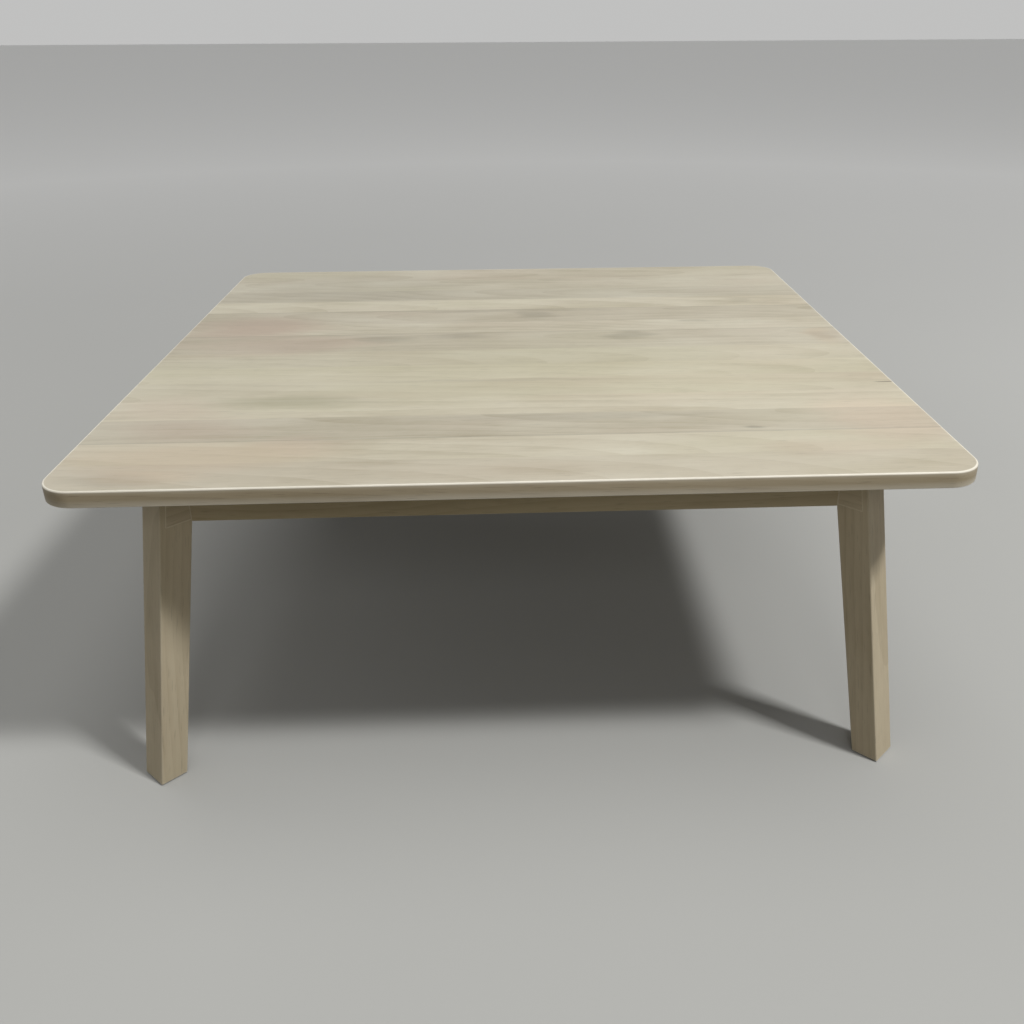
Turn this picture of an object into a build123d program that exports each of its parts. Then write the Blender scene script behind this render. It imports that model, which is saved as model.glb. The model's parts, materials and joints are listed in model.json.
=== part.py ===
from build123d import *
from math import cos, radians, sin, sqrt, tan
import os

# Low square kotatsu table. Millimetres, +Z up, front towards -Y.
# The origin is on the floor, under the middle of the tabletop.

# Driving dimensions ---------------------------------------------------------

# Whole table
table_side = 900.0
table_height = 370.0

# Loose tabletop
board_thickness = 17.0
board_corner_radius = 35.0
board_upper_arris = 1.6
board_lower_arris = 1.2

# Slip pads between the frame and the loose tabletop
pad_diameter = 14.0
pad_thickness = 1.5
pad_spread = 230.0          # from the middle of a rail to each of its pads

# Rails
rail_recess = 87.0          # from the board's edge to the rail's outer face
rail_thickness = 20.0
rail_height = 57.0
rail_arris = 1.5

# Legs: square to the table's diagonals, and leaning out along them
leg_head_inset = 115.4      # along the diagonal, from the board's square corner to the head
leg_lean = 9.9              # degrees
leg_width = 36.0
leg_head_depth = 38.0
leg_foot_depth = 31.0
leg_arris = 1.6
tongue_thickness = 7.0      # what is left of the leg outside its corner block
glide_thickness = 2.0
glide_inset = 3.0

# Corner blocks and their dowels
block_tail = 22.0           # length of the block behind the rails
block_rise = 3.0            # from the lower edge of the rails to the block's
dowel_diameter = 8.0
dowel_length = 30.0
dowel_in_block = 14.0
dowel_first_height = 18.0   # above the lower edge of the rail
dowel_spacing = 20.0

# Hanger bolts that hold the legs
bolt_diameter = 8.0
bolt_in_leg = 42.0
bolt_end_gap = 3.0          # from the bolt's end to the block's upper face
nut_width = 13.0
nut_thickness = 6.5
washer_diameter = 17.0
washer_thickness = 1.6
nut_pocket_diameter = 20.0
nut_pocket_depth = 13.0

# Crossbars and spacers that carry the heater
heater_opening = 300.0      # clear square between the bars
bar_width = 32.0
bar_height = 22.0
bar_drop = 1.0              # below the top of the rails
bar_arris = 1.0
tenon_width = 20.0
tenon_height = 12.0
tenon_length = 9.0
spacer_screw_spacing = 14.0
spacer_screw_length = 62.0
wood_screw_diameter = 3.8
wood_screw_head = 7.6
wood_screw_head_height = 2.4
recess_share = 0.5          # of a head's width that its cross recess takes
recess_blade = 0.2          # of the recess's width, each blade's thickness
recess_depth = 1.5          # times a blade's thickness
recess_taper = 12.0         # degrees

# Heater case
case_play = 7.0             # between the case and the bars around it
case_sheet = 1.2
case_lip = 12.0
case_drop = 2.5             # from the top of the bars to the top of the lid
case_corner = 10.0
lid_skirt = 8.0
lid_screw_shift = 40.0      # from the middle of a side
lid_screw_rise = 3.0        # above the skirt's lower edge
lid_screw_diameter = 2.9
lid_screw_length = 7.0
lid_screw_head = 5.6
lid_screw_head_height = 1.8
lid_slot_length = 60.0
lid_slot_width = 4.0
lid_slot_pitch = 12.0
lid_slot_count = 6
ear_margin = 5.0            # from the ear's end to the bar's far edge
ear_width = 22.0
ear_spread = 100.0
ear_screw_inset = 10.0      # from the bar's near edge to the screw
ear_screw_length = 18.0
sheet_thickness = 2.0       # insulating sheet on the lid
sheet_margin = 8.0

# Reflector and heating tubes
reflector_sheet = 0.8
reflector_margin = 17.0     # from the case's outer face to the reflector's mouth
reflector_lean = 50.0       # degrees, its sloping walls
reflector_depth = 26.0
tube_diameter = 12.0
tube_wall = 1.0
tube_spacing = 90.0
tube_drop = 12.2            # below the inside of the crown
cap_diameter = 16.0
cap_length = 16.0
cap_socket = 8.0
cap_rounding = 0.8
cap_gap = 1.7               # from a cap's upper edge to the sloping wall, along the tube
coil_diameter = 6.4
coil_wall = 0.9
coil_inset = 6.0            # from the tube's end to the coil's
coil_tail_diameter = 1.8
holder_inset = 4.0          # from the tube's end to the middle of the holder's plate
holder_sheet = 1.2
holder_width = 24.0
holder_rim = 2.5            # below the cap
holder_foot = 11.0
rivet_diameter = 3.2
rivet_head = 5.4
rivet_head_height = 0.9

# Guard
guard_height = 6.5
guard_sheet = 1.5
guard_inset = 1.0
wire_diameter = 2.2
wire_pitch = 14.0
wire_lift = 0.6             # above the guard's lower rim
cross_wire_pitch = 66.0
weld_depth = 0.4
guard_tab = 15.0
guard_screw_inset = 8.5     # from the case's outer face to the screw
guard_screw_diameter = 4.0
guard_screw_head = 7.0
guard_screw_head_height = 2.4
guard_screw_end = 1.0       # beyond its nut
guard_nut_width = 7.0
guard_nut_thickness = 3.2

# Wiring
wiring_room = 3.6           # above the terminal block
inlet_width = 40.0
inlet_height = 17.0
inlet_depth = 20.0
inlet_wall = 2.4
inlet_back = 5.0
inlet_corner = 2.0
inlet_well_corner = 1.5
inlet_boss_diameter = 8.0
pin_spread = 14.0
pin_diameter = 4.0
pin_tip = 0.6               # flat left on the rounded tip
pin_tail = 5.0
pin_recess = 5.0
terminal_cells = 4
terminal_width = 18.0
terminal_height = 9.0
terminal_well_diameter = 5.6
terminal_well_depth = 2.4
terminal_groove_width = 1.2
terminal_groove_depth = 2.0
terminal_screw_head = 5.0
terminal_screw_head_height = 1.8
terminal_screw_diameter = 3.0
terminal_screw_length = 4.5
terminal_screw_slot = 0.8
thermostat_diameter = 16.0
thermostat_height = 7.5
thermostat_rounding = 1.5
thermostat_margin = 3.0     # from the edge of the reflector's crown
lug_width = 3.0
lug_length = 4.0
lug_thickness = 1.0
fuse_diameter = 4.2
fuse_length = 14.0
fuse_margin = 22.0          # from the edge of the reflector's crown
fuse_clip_width = 2.4
fuse_clip_length = 6.0
lead_diameter = 2.6
lead_bend = 5.0
lead_gap = 13.8             # from the case's outer face to the rising leads

# Fits
glue_gap = 0.05             # radial, dowels, bolts and screws in their holes
sheet_gap = 0.2             # between a sheet part and what it slips over
slip_gap = 0.1              # tenon cheeks, tube in cap, cap in holder
screw_gap = 0.5             # radial, screws in the ears they pass through
overshoot = 1.0             # how far a cut runs past the face that it opens
least_corner = 0.5          # inside corner of a frame that is wider than its outer corner

# Shared levels and lines ----------------------------------------------------

board_under = table_height - board_thickness
frame_top = board_under - pad_thickness
frame_bottom = frame_top - rail_height
block_bottom = frame_bottom + block_rise
block_height = frame_top - block_bottom
rail_face = table_side / 2 - rail_recess
rail_middle = rail_face - rail_thickness / 2
lean = tan(radians(leg_lean))
leg_head_reach = table_side / 2 * sqrt(2) - leg_head_inset
tongue_slice = tongue_thickness / cos(radians(leg_lean))
bar_top = frame_top - bar_drop
bar_bottom = bar_top - bar_height
bar_middle = (heater_opening + bar_width) / 2
case_side = heater_opening - 2 * case_play
case_top = bar_top - case_drop
lid_under = case_top - case_sheet
crown_top = lid_under - wiring_room - terminal_height
crown_under = crown_top - reflector_sheet
lip_top = crown_top - reflector_depth
case_bottom = lip_top - case_sheet
reflector_slope = tan(radians(reflector_lean))
reflector_slice = reflector_sheet / cos(radians(reflector_lean))
reflector_mouth = case_side - 2 * reflector_margin
reflector_crown = reflector_mouth - 2 * reflector_depth * reflector_slope
tube_level = crown_under - tube_drop
cap_top = tube_level + cap_diameter / 2
cap_end = reflector_crown / 2 + (crown_top - cap_top) * reflector_slope - reflector_slice - cap_gap
tube_length = 2 * (cap_end - cap_length + cap_socket)
holder_reach = tube_length / 2 - holder_inset
wiring_level = crown_top + terminal_height - lead_diameter
inlet_level = (case_bottom + bar_bottom) / 2
terminal_length = terminal_cells * pin_spread
thermostat_place = (reflector_crown - thermostat_diameter) / 2 - thermostat_margin
fuse_place = (reflector_crown - fuse_length) / 2 - fuse_margin
corner_names = ("back_right", "back_left", "front_left", "front_right")
rail_names = ("front_rail", "right_rail", "back_rail", "left_rail")


def leg_outer(height):
    """Distance from the table's middle to a leg's outer face, along the diagonal."""
    return leg_head_reach + (frame_top - height) * lean


def leg_inner(height):
    """The same to the leg's inner face, which closes in on the outer one towards the foot."""
    share = (height - glide_thickness) / (frame_top - glide_thickness)
    return leg_outer(height) - leg_foot_depth - (leg_head_depth - leg_foot_depth) * share


def at_corner(shape, index):
    """Turns a piece built along +X to one of the four diagonals."""
    return Rot(0, 0, 45 + 90 * index) * shape


def at_side(shape, index):
    """Turns a piece built at the front to one of the four sides."""
    return Rot(0, 0, 90 * index) * shape


def along_diagonal(points, width):
    """Extrudes an outline given as distance along the diagonal and height."""
    return extrude(Plane.XZ * make_face(Polyline(*points, close=True)), width / 2, both=True)


def ring(outer, inner, height, corner):
    """A square frame with rounded corners that stands on the XY plane."""
    wall = (outer - inner) / 2
    sketch = RectangleRounded(outer, outer, corner)
    sketch -= RectangleRounded(inner, inner, max(corner - wall, least_corner))
    return extrude(sketch, height)


def post(diameter, height):
    """A cylinder that stands on the XY plane."""
    return extrude(Circle(diameter / 2), height)


def block(width, depth, height):
    """A block that stands on the XY plane."""
    return extrude(Rectangle(width, depth), height)


def drill(diameter, depth):
    """A hole's tool that starts a little below the XY plane and ends a little above the depth."""
    return Pos(0, 0, -overshoot) * post(diameter, depth + 2 * overshoot)


def cross_recess(head):
    """A cross recess for a head of this width, sunk into it from the XY plane."""
    width = head * recess_share
    blade = width * recess_blade
    cross = Rectangle(width, blade) + Rectangle(blade, width)
    return extrude(cross, blade * recess_depth, taper=recess_taper)


def hex_nut(width, thickness, bore):
    """A nut that stands on the XY plane, with its corners turned off at both ends."""
    body = extrude(RegularPolygon(width / 2, 6, major_radius=False), thickness)
    across_corners = 2 * width / sqrt(3)
    body &= chamfer(post(across_corners, thickness).edges(), (across_corners - width) / 2)
    return body - drill(bore, thickness)


def four_ways(x, y):
    """The four places that mirror one point about both axes."""
    return [(sx * x, sy * y) for sx in (-1, 1) for sy in (-1, 1)]


# Tabletop -------------------------------------------------------------------

def tabletop_board():
    plan = RectangleRounded(table_side, table_side, board_corner_radius)
    board = Pos(0, 0, board_under) * extrude(plan, board_thickness)
    board = fillet(board.faces().sort_by(Axis.Z)[-1].edges(), board_upper_arris)
    return fillet(board.faces().sort_by(Axis.Z)[0].edges(), board_lower_arris)


def slip_pads():
    pad = Pos(0, -rail_middle, frame_top) * post(pad_diameter, pad_thickness)
    pads = []
    for index in range(4):
        for shift in (-pad_spread, pad_spread):
            pads.append(at_side(Pos(shift, 0, 0) * pad, index))
    return pads


# Rails, corner blocks and dowels --------------------------------------------

def dowel_places():
    """Each dowel's centre line lies along its rail and crosses the rail's mitred end."""
    end = rail_middle - leg_width / sqrt(2)
    places = []
    for index in range(4):
        for way in (-1, 1):
            for step in range(2):
                height = frame_bottom + dowel_first_height + step * dowel_spacing
                place = Location((way * end, -rail_middle, height), (0, way * 90, 0))
                places.append(Rot(0, 0, 90 * index) * place)
    return places


def dowel(gap=0.0):
    """Runs from inside the rail, below the XY plane, to inside the block, above it."""
    length = dowel_length + 2 * gap
    start = dowel_in_block - dowel_length - gap
    return Pos(0, 0, start) * post(dowel_diameter + 2 * gap, length)


def mortises():
    """Pockets in the front and back rails for the crossbars' tenons."""
    pocket = Box(tenon_width + 2 * slip_gap, tenon_length + slip_gap, tenon_height + 2 * slip_gap)
    depth = rail_face - rail_thickness + (tenon_length + slip_gap) / 2
    level = (bar_top + bar_bottom) / 2
    return [Pos(x, y, level) * pocket for x, y in four_ways(bar_middle, depth)]


def rail(index):
    outer = rail_face - leg_width / sqrt(2)
    inner = outer - rail_thickness
    back = rail_face - rail_thickness
    plan = make_face(Polyline((-outer, -rail_face), (outer, -rail_face), (inner, -back),
                              (-inner, -back), close=True))
    body = Pos(0, 0, frame_bottom) * extrude(plan, rail_height)
    long_edges = body.edges().filter_by(Axis.X)
    body = fillet(long_edges, rail_arris)
    body = at_side(body, index)
    holes = [place * dowel(glue_gap) for place in dowel_places()]
    if index % 2 == 0:
        holes += mortises()
    return body - holes


def block_inner():
    """Where a corner block ends behind the rails, along the diagonal."""
    return (rail_face - rail_thickness) * sqrt(2) - leg_width / 2 - block_tail


def corner_block(index):
    outline = ((block_inner(), block_bottom),
               (leg_outer(block_bottom) - tongue_slice, block_bottom),
               (leg_outer(frame_top) - tongue_slice, frame_top),
               (block_inner(), frame_top))
    body = along_diagonal(outline, leg_width)
    body -= bolt_axis() * drill(bolt_diameter + 2 * glue_gap, 2 * block_height)
    body -= bolt_axis() * Pos(0, 0, pocket_floor()) * post(nut_pocket_diameter, block_height)
    return at_corner(body, index) - [place * dowel(glue_gap) for place in dowel_places()]


# Legs and their bolts -------------------------------------------------------

def bolt_axis():
    """At the middle of the leg's shoulder, with +Z up along the leaning leg."""
    middle = (leg_inner(block_bottom) + leg_outer(block_bottom) - tongue_slice) / 2
    return Location((middle, 0, block_bottom), (0, -leg_lean, 0))


def pocket_floor():
    """Height of the nut pocket's floor above the shoulder, along the bolt."""
    return block_height / cos(radians(leg_lean)) - nut_pocket_depth


def leg(index):
    outline = ((leg_inner(glide_thickness), glide_thickness),
               (leg_outer(glide_thickness), glide_thickness),
               (leg_outer(frame_top), frame_top),
               (leg_outer(frame_top) - tongue_slice, frame_top),
               (leg_outer(block_bottom) - tongue_slice, block_bottom),
               (leg_inner(block_bottom), block_bottom))
    body = along_diagonal(outline, leg_width)
    stem = block_bottom - glide_thickness
    long_edges = [edge for edge in body.edges() if edge.length > stem * 0.9]
    body = fillet(long_edges, leg_arris)
    hole = drill(bolt_diameter + 2 * glue_gap, bolt_in_leg)
    body -= bolt_axis() * Pos(0, 0, -bolt_in_leg) * hole
    return at_corner(body, index)


def hanger_bolt():
    length = bolt_in_leg + block_height / cos(radians(leg_lean)) - bolt_end_gap
    shank = chamfer(post(bolt_diameter, length).edges(), bolt_diameter / 8)
    return bolt_axis() * Pos(0, 0, -bolt_in_leg) * shank


def leg_washer():
    plate = extrude(Circle(washer_diameter / 2) - Circle(bolt_diameter / 2 + slip_gap),
                    washer_thickness)
    return bolt_axis() * Pos(0, 0, pocket_floor()) * plate


def leg_nut():
    seat = pocket_floor() + washer_thickness
    nut = hex_nut(nut_width, nut_thickness, bolt_diameter + 2 * slip_gap)
    return bolt_axis() * Pos(0, 0, seat) * nut


def foot_glide():
    depth = leg_foot_depth - 2 * glide_inset
    middle = (leg_inner(glide_thickness) + leg_outer(glide_thickness)) / 2
    plan = RectangleRounded(depth, leg_width - 2 * glide_inset, glide_inset)
    return Pos(middle, 0, 0) * extrude(plan, glide_thickness)


# Bars that carry the heater -------------------------------------------------

def spacer_screw_places():
    """Screws go in from the crossbars' outer faces, into the ends of the spacers."""
    places = []
    for x, y in four_ways(heater_opening / 2 + bar_width, bar_middle):
        for step in (-0.5, 0.5):
            turn = -90 if x > 0 else 90
            side = y + step * spacer_screw_spacing
            places.append(Location((x, side, (bar_top + bar_bottom) / 2), (0, turn, 0)))
    return places


def wood_screw(length, gap=0.0):
    """Countersunk screw: its head is flush with the XY plane and it runs up from there."""
    head = wood_screw_head / 2 + gap
    shank = wood_screw_diameter / 2 + gap
    cone = head - shank
    profile = Polyline((0, 0), (head, 0), (shank, cone), (shank, length - cone + gap),
                       (0, length + gap), close=True)
    screw = revolve(Plane.XZ * make_face(profile), Axis.Z)
    return screw if gap > 0 else screw - cross_recess(wood_screw_head)


def ear_screw_places():
    reach = heater_opening / 2 + ear_screw_inset
    return [Pos(x, y, bar_bottom - case_sheet) for x, y in four_ways(reach, ear_spread)]


def ear_screw(gap=0.0):
    """Pan-head screw that holds an ear of the case up against a crossbar."""
    shank = post(wood_screw_diameter + 2 * gap, ear_screw_length + gap)
    if gap > 0:
        return shank
    head = post(wood_screw_head, wood_screw_head_height)
    head = fillet(head.edges().sort_by(Axis.Z)[0], wood_screw_head_height / 2)
    return shank + Pos(0, 0, -wood_screw_head_height) * (head - cross_recess(wood_screw_head))


def crossbar(way):
    length = 2 * (rail_face - rail_thickness)
    body = Box(bar_width, length, bar_height)
    body = fillet(body.edges().filter_by(Axis.Y), bar_arris)
    body += Box(tenon_width, length + 2 * tenon_length, tenon_height)
    body = Pos(way * bar_middle, 0, (bar_top + bar_bottom) / 2) * body
    body -= [place * wood_screw(spacer_screw_length, glue_gap) for place in spacer_screw_places()]
    return body - [place * ear_screw(glue_gap) for place in ear_screw_places()]


def spacer(way):
    body = Box(heater_opening, bar_width, bar_height)
    body = fillet(body.edges().filter_by(Axis.X), bar_arris)
    body = Pos(0, way * bar_middle, (bar_top + bar_bottom) / 2) * body
    return body - [place * wood_screw(spacer_screw_length, glue_gap)
                   for place in spacer_screw_places()]


# Heater: case, lid and insulation -------------------------------------------

def lid_screw_places():
    """One screw through each side of the lid's skirt."""
    reach = case_side / 2 + case_sheet + sheet_gap
    level = case_top - lid_skirt + lid_screw_rise
    first = Location((lid_screw_shift, -reach, level), (-90, 0, 0))
    return [Rot(0, 0, 90 * index) * first for index in range(4)]


def lid_screw(gap=0.0):
    """Small self-tapping screw: its head is below the XY plane, its shank above."""
    shank = post(lid_screw_diameter + 2 * gap, lid_screw_length + gap)
    if gap > 0:
        return shank
    head = post(lid_screw_head, lid_screw_head_height) - cross_recess(lid_screw_head)
    return shank + Pos(0, 0, -lid_screw_head_height) * head


def heater_case():
    inner = case_side - 2 * case_sheet
    wall = ring(case_side, inner, lid_under - case_bottom, case_corner)
    lip = ring(case_side, inner - 2 * case_lip, case_sheet, case_corner)
    case = Pos(0, 0, case_bottom) * (wall + lip)
    ear_start = case_side / 2 - case_sheet
    ear_end = heater_opening / 2 + bar_width - ear_margin
    ear = Box(ear_end - ear_start, ear_width, case_sheet)
    for x, y in four_ways((ear_start + ear_end) / 2, ear_spread):
        case += Pos(x, y, bar_bottom - case_sheet / 2) * ear
    case -= [place * drill(wood_screw_diameter + 2 * screw_gap, case_sheet)
             for place in ear_screw_places()]
    case -= [place * lid_screw(glue_gap) for place in lid_screw_places()]
    case -= [place * guard_screw_hole() for place in guard_screw_places()]
    hole = Pos(0, 0, -case_sheet) * drill(inlet_boss_diameter + 2 * slip_gap, case_sheet)
    return case - [inlet_frame() * Pos(x, 0, 0) * hole for x in (-pin_spread / 2, pin_spread / 2)]


def heater_lid():
    outer = case_side + 2 * (case_sheet + sheet_gap)
    corner = case_corner + case_sheet + sheet_gap
    plate = extrude(RectangleRounded(outer, outer, corner), case_sheet)
    skirt = Pos(0, 0, case_sheet - lid_skirt) * ring(outer, outer - 2 * case_sheet, lid_skirt, corner)
    lid = Pos(0, 0, lid_under) * (plate + skirt)
    slot = extrude(SlotOverall(lid_slot_length, lid_slot_width), case_sheet + 2 * overshoot)
    slot = Pos(0, 0, lid_under - overshoot) * slot
    for side in (-1, 1):
        for step in range(lid_slot_count):
            shift = (step - (lid_slot_count - 1) / 2) * lid_slot_pitch
            lid -= Pos(side * case_side / 4, shift, 0) * slot
    return lid - [place * lid_screw(glue_gap) for place in lid_screw_places()]


def insulating_sheet():
    side = case_side - 2 * sheet_margin
    return Pos(0, 0, case_top) * extrude(RectangleRounded(side, side, case_corner), sheet_thickness)


# Heater: reflector, tubes and holders ---------------------------------------

def frustum(lower, upper, height):
    """Square pyramid with its tip cut off, standing on the XY plane."""
    return loft([Rectangle(lower, lower), Pos(0, 0, height) * Rectangle(upper, upper)])


def rivet_places():
    reach = holder_reach - holder_foot / 2
    return [Pos(x, y, crown_under - holder_sheet) for x, y in four_ways(reach, tube_spacing / 2)]


def rivet_hole():
    return drill(rivet_diameter + 2 * glue_gap, holder_sheet + reflector_sheet)


def rivet():
    """Domed rivet through a holder's foot and the reflector."""
    grip = holder_sheet + reflector_sheet
    shank = post(rivet_diameter, grip)
    head = post(rivet_head, rivet_head_height)
    return shank + Pos(0, 0, -rivet_head_height) * head + Pos(0, 0, grip) * head


def heater_reflector():
    thinning = 2 * reflector_slice
    hollow_crown = reflector_crown + 2 * reflector_sheet * reflector_slope - thinning
    hollow = frustum(reflector_mouth - thinning, hollow_crown, reflector_depth - reflector_sheet)
    flange_side = case_side - 2 * (case_sheet + sheet_gap)
    flange = RectangleRounded(flange_side, flange_side, case_corner - case_sheet)
    reflector = frustum(reflector_mouth, reflector_crown, reflector_depth)
    reflector = Pos(0, 0, lip_top) * (reflector + extrude(flange, reflector_sheet) - hollow)
    reflector -= [place * guard_screw_hole() for place in guard_screw_places()]
    reflector -= [place * rivet_hole() for place in rivet_places()]
    lead_hole = Rot(0, 90, 0) * Cylinder(lead_diameter, 2 * case_side)
    for y in (-tube_spacing / 2, tube_spacing / 2):
        reflector -= Pos(0, y, tube_level) * lead_hole
    return reflector


def tube_places():
    return [Location((0, y, tube_level), (0, 90, 0)) for y in (-tube_spacing / 2, tube_spacing / 2)]


def quartz_tubes():
    wall = Circle(tube_diameter / 2) - Circle(tube_diameter / 2 - tube_wall)
    tube = extrude(wall, tube_length / 2, both=True)
    return [place * tube for place in tube_places()]


def heating_coils():
    """A sleeve of the coil's outer size, with the straight tail that leaves each end."""
    half = tube_length / 2 - coil_inset
    wall = Circle(coil_diameter / 2) - Circle(coil_diameter / 2 - coil_wall)
    coil = extrude(wall, half, both=True)
    tail_length = cap_end - half
    for way in (-1, 1):
        disc = Pos(0, 0, way * half) * Cylinder(coil_diameter / 2, coil_wall)
        tail = Pos(0, 0, way * (half + tail_length / 2))
        coil += disc + tail * Cylinder(coil_tail_diameter / 2, tail_length)
    return [place * coil for place in tube_places()]


def end_cap():
    """Ceramic cap on a tube's end, with its mouth towards the middle of the tube."""
    body = fillet(post(cap_diameter, cap_length).edges(), cap_rounding)
    socket = post(tube_diameter + 2 * slip_gap, cap_socket + overshoot)
    body -= Pos(0, 0, -overshoot) * socket
    return body - drill(coil_tail_diameter + 2 * slip_gap, cap_length)


def tube_end_caps():
    caps = []
    for place in tube_places():
        for turn in (0, 180):
            end = Rot(turn, 0, 0) * Pos(0, 0, tube_length / 2 - cap_socket)
            caps.append(place * end * end_cap())
    return caps


def tube_holder():
    """Plate with a hole for the cap, bent over into a foot on the reflector's crown."""
    rise = crown_under - tube_level
    drop = cap_diameter / 2 + holder_rim
    plate = Pos(0, 0, (rise - drop) / 2) * Box(holder_sheet, holder_width, rise + drop)
    foot = Pos(-(holder_foot - holder_sheet) / 2, 0, rise - holder_sheet)
    plate += foot * block(holder_foot, holder_width, holder_sheet)
    plate -= Rot(0, 90, 0) * Cylinder(cap_diameter / 2 + slip_gap, holder_sheet + overshoot)
    return plate - foot * rivet_hole()


def tube_holders():
    reach = holder_reach - holder_sheet / 2
    holders = []
    for y in (-tube_spacing / 2, tube_spacing / 2):
        for turn in (0, 180):
            holders.append(Pos(0, y, tube_level) * Rot(0, 0, turn) * Pos(reach, 0, 0) * tube_holder())
    return holders


# Heater: guard --------------------------------------------------------------

def guard_screw_places():
    reach = case_side / 2 - guard_screw_inset
    return [Pos(x, y, case_bottom - guard_sheet) for x, y in four_ways(reach, reach)]


def guard_screw_hole():
    return drill(guard_screw_diameter + 2 * slip_gap, guard_sheet + case_sheet + reflector_sheet)


def guard_screw():
    stack = guard_sheet + case_sheet + reflector_sheet
    shank = post(guard_screw_diameter, stack + guard_nut_thickness + guard_screw_end)
    head = post(guard_screw_head, guard_screw_head_height)
    head = fillet(head.edges().sort_by(Axis.Z)[0], guard_screw_head_height / 2)
    head -= cross_recess(guard_screw_head)
    return shank + Pos(0, 0, -guard_screw_head_height) * head


def guard_nut():
    stack = guard_sheet + case_sheet + reflector_sheet
    nut = hex_nut(guard_nut_width, guard_nut_thickness, guard_screw_diameter + 2 * glue_gap)
    return Pos(0, 0, stack) * nut


def guard_grille():
    outer = case_side - 2 * guard_inset
    inner = outer - 2 * guard_sheet
    guard = Pos(0, 0, case_bottom - guard_height) * ring(outer, inner, guard_height, case_corner)
    tab = Box(guard_tab, guard_tab, guard_sheet)
    tab_reach = outer / 2 - guard_sheet / 2 - guard_tab / 2
    for x, y in four_ways(tab_reach, tab_reach):
        guard += Pos(x, y, case_bottom - guard_sheet / 2) * tab
    outline = extrude(RectangleRounded(outer, outer, case_corner), guard_height)
    guard &= Pos(0, 0, case_bottom - guard_height) * outline
    guard -= [place * guard_screw_hole() for place in guard_screw_places()]
    length = outer - guard_sheet
    wire_level = case_bottom - guard_height + wire_diameter / 2 + wire_lift
    wire = Pos(0, 0, wire_level) * Rot(0, 90, 0) * Cylinder(wire_diameter / 2, length)
    cross_level = wire_level + wire_diameter - weld_depth
    cross_wire = Pos(0, 0, cross_level) * Rot(90, 0, 0) * Cylinder(wire_diameter / 2, length)
    wire_count = int((inner - 2 * case_corner) / wire_pitch) + 1
    cross_count = int((inner - 2 * case_corner) / cross_wire_pitch) + 1
    wires = [Pos(0, (step - (wire_count - 1) / 2) * wire_pitch, 0) * wire
             for step in range(wire_count)]
    cross_wires = [Pos((step - (cross_count - 1) / 2) * cross_wire_pitch, 0, 0) * cross_wire
                   for step in range(cross_count)]
    return guard + wires + cross_wires


# Heater: wiring -------------------------------------------------------------

def inlet_frame():
    """On the outside of the case's back wall, with +Z pointing back, out of the socket."""
    return Location((0, case_side / 2, inlet_level), (-90, 0, 0))


def inlet_housing():
    body = block(inlet_width, inlet_height, inlet_depth)
    body = fillet(body.edges().filter_by(Axis.Z), inlet_corner)
    well = block(inlet_width - 2 * inlet_wall, inlet_height - 2 * inlet_wall, inlet_depth)
    body -= Pos(0, 0, inlet_back) * fillet(well.edges().filter_by(Axis.Z), inlet_well_corner)
    reach = 2 * case_sheet
    for x in (-pin_spread / 2, pin_spread / 2):
        body += Pos(x, 0, -reach) * post(inlet_boss_diameter, reach + inlet_back)
        body -= Pos(x, 0, -reach) * drill(pin_diameter + 2 * glue_gap, reach + inlet_depth)
    return inlet_frame() * body


def inlet_pins():
    length = inlet_depth - pin_recess + pin_tail
    pin = post(pin_diameter, length)
    pin = fillet(pin.edges().sort_by(Axis.Z)[-1], (pin_diameter - pin_tip) / 2)
    return [inlet_frame() * Pos(x, 0, -pin_tail) * pin for x in (-pin_spread / 2, pin_spread / 2)]


def cell_place(step):
    """Middle of one of the terminal block's cells, along the block."""
    return (step - (terminal_cells - 1) / 2) * pin_spread


def terminal_block():
    body = block(terminal_length, terminal_width, terminal_height)
    well = post(terminal_well_diameter, terminal_well_depth + overshoot)
    groove = block(terminal_groove_width, terminal_width, terminal_groove_depth + overshoot)
    for step in range(terminal_cells):
        body -= Pos(cell_place(step), 0, terminal_height - terminal_well_depth) * well
        if step:
            middle = (cell_place(step - 1) + cell_place(step)) / 2
            body -= Pos(middle, 0, terminal_height - terminal_groove_depth) * groove
    body = Pos(0, 0, crown_top) * body
    return body - [place * terminal_screw(glue_gap) for place in terminal_screw_places()]


def terminal_screw_places():
    level = crown_top + terminal_height - terminal_well_depth
    return [Pos(cell_place(step), 0, level) for step in range(terminal_cells)]


def terminal_screw(gap=0.0):
    """Slotted screw: its head stands on the XY plane, its shank hangs below."""
    length = terminal_screw_length + gap
    shank = Pos(0, 0, -length) * post(terminal_screw_diameter + 2 * gap, length)
    if gap > 0:
        return shank
    head = post(terminal_screw_head, terminal_screw_head_height)
    slot = block(terminal_screw_slot, terminal_screw_head, terminal_screw_head_height)
    return shank + (head - Pos(0, 0, terminal_screw_head_height / 2) * slot)


def thermostat():
    x = pin_spread / 2
    can = Pos(x, thermostat_place, crown_top) * post(thermostat_diameter, thermostat_height)
    can = fillet(can.edges().sort_by(Axis.Z)[-1], thermostat_rounding)
    lugs = Box(lug_width, thermostat_diameter + 2 * lug_length, lug_thickness)
    return can + Pos(x, thermostat_place, wiring_level - lug_thickness / 2) * lugs


def thermal_fuse():
    x = -pin_spread / 2
    body = Pos(x, fuse_place, wiring_level) * Rot(90, 0, 0) * Cylinder(fuse_diameter / 2, fuse_length)
    clip = block(fuse_clip_width, fuse_clip_length, wiring_level - crown_top)
    return body + Pos(x, fuse_place, crown_top) * clip


def lead(*points):
    """Insulated lead: straight runs joined by tangent arcs."""
    path = FilletPolyline(*points, radius=lead_bend)
    start = Plane(origin=path @ 0, z_dir=path % 0)
    return sweep(start * Circle(lead_diameter / 2), path=path)


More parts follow.
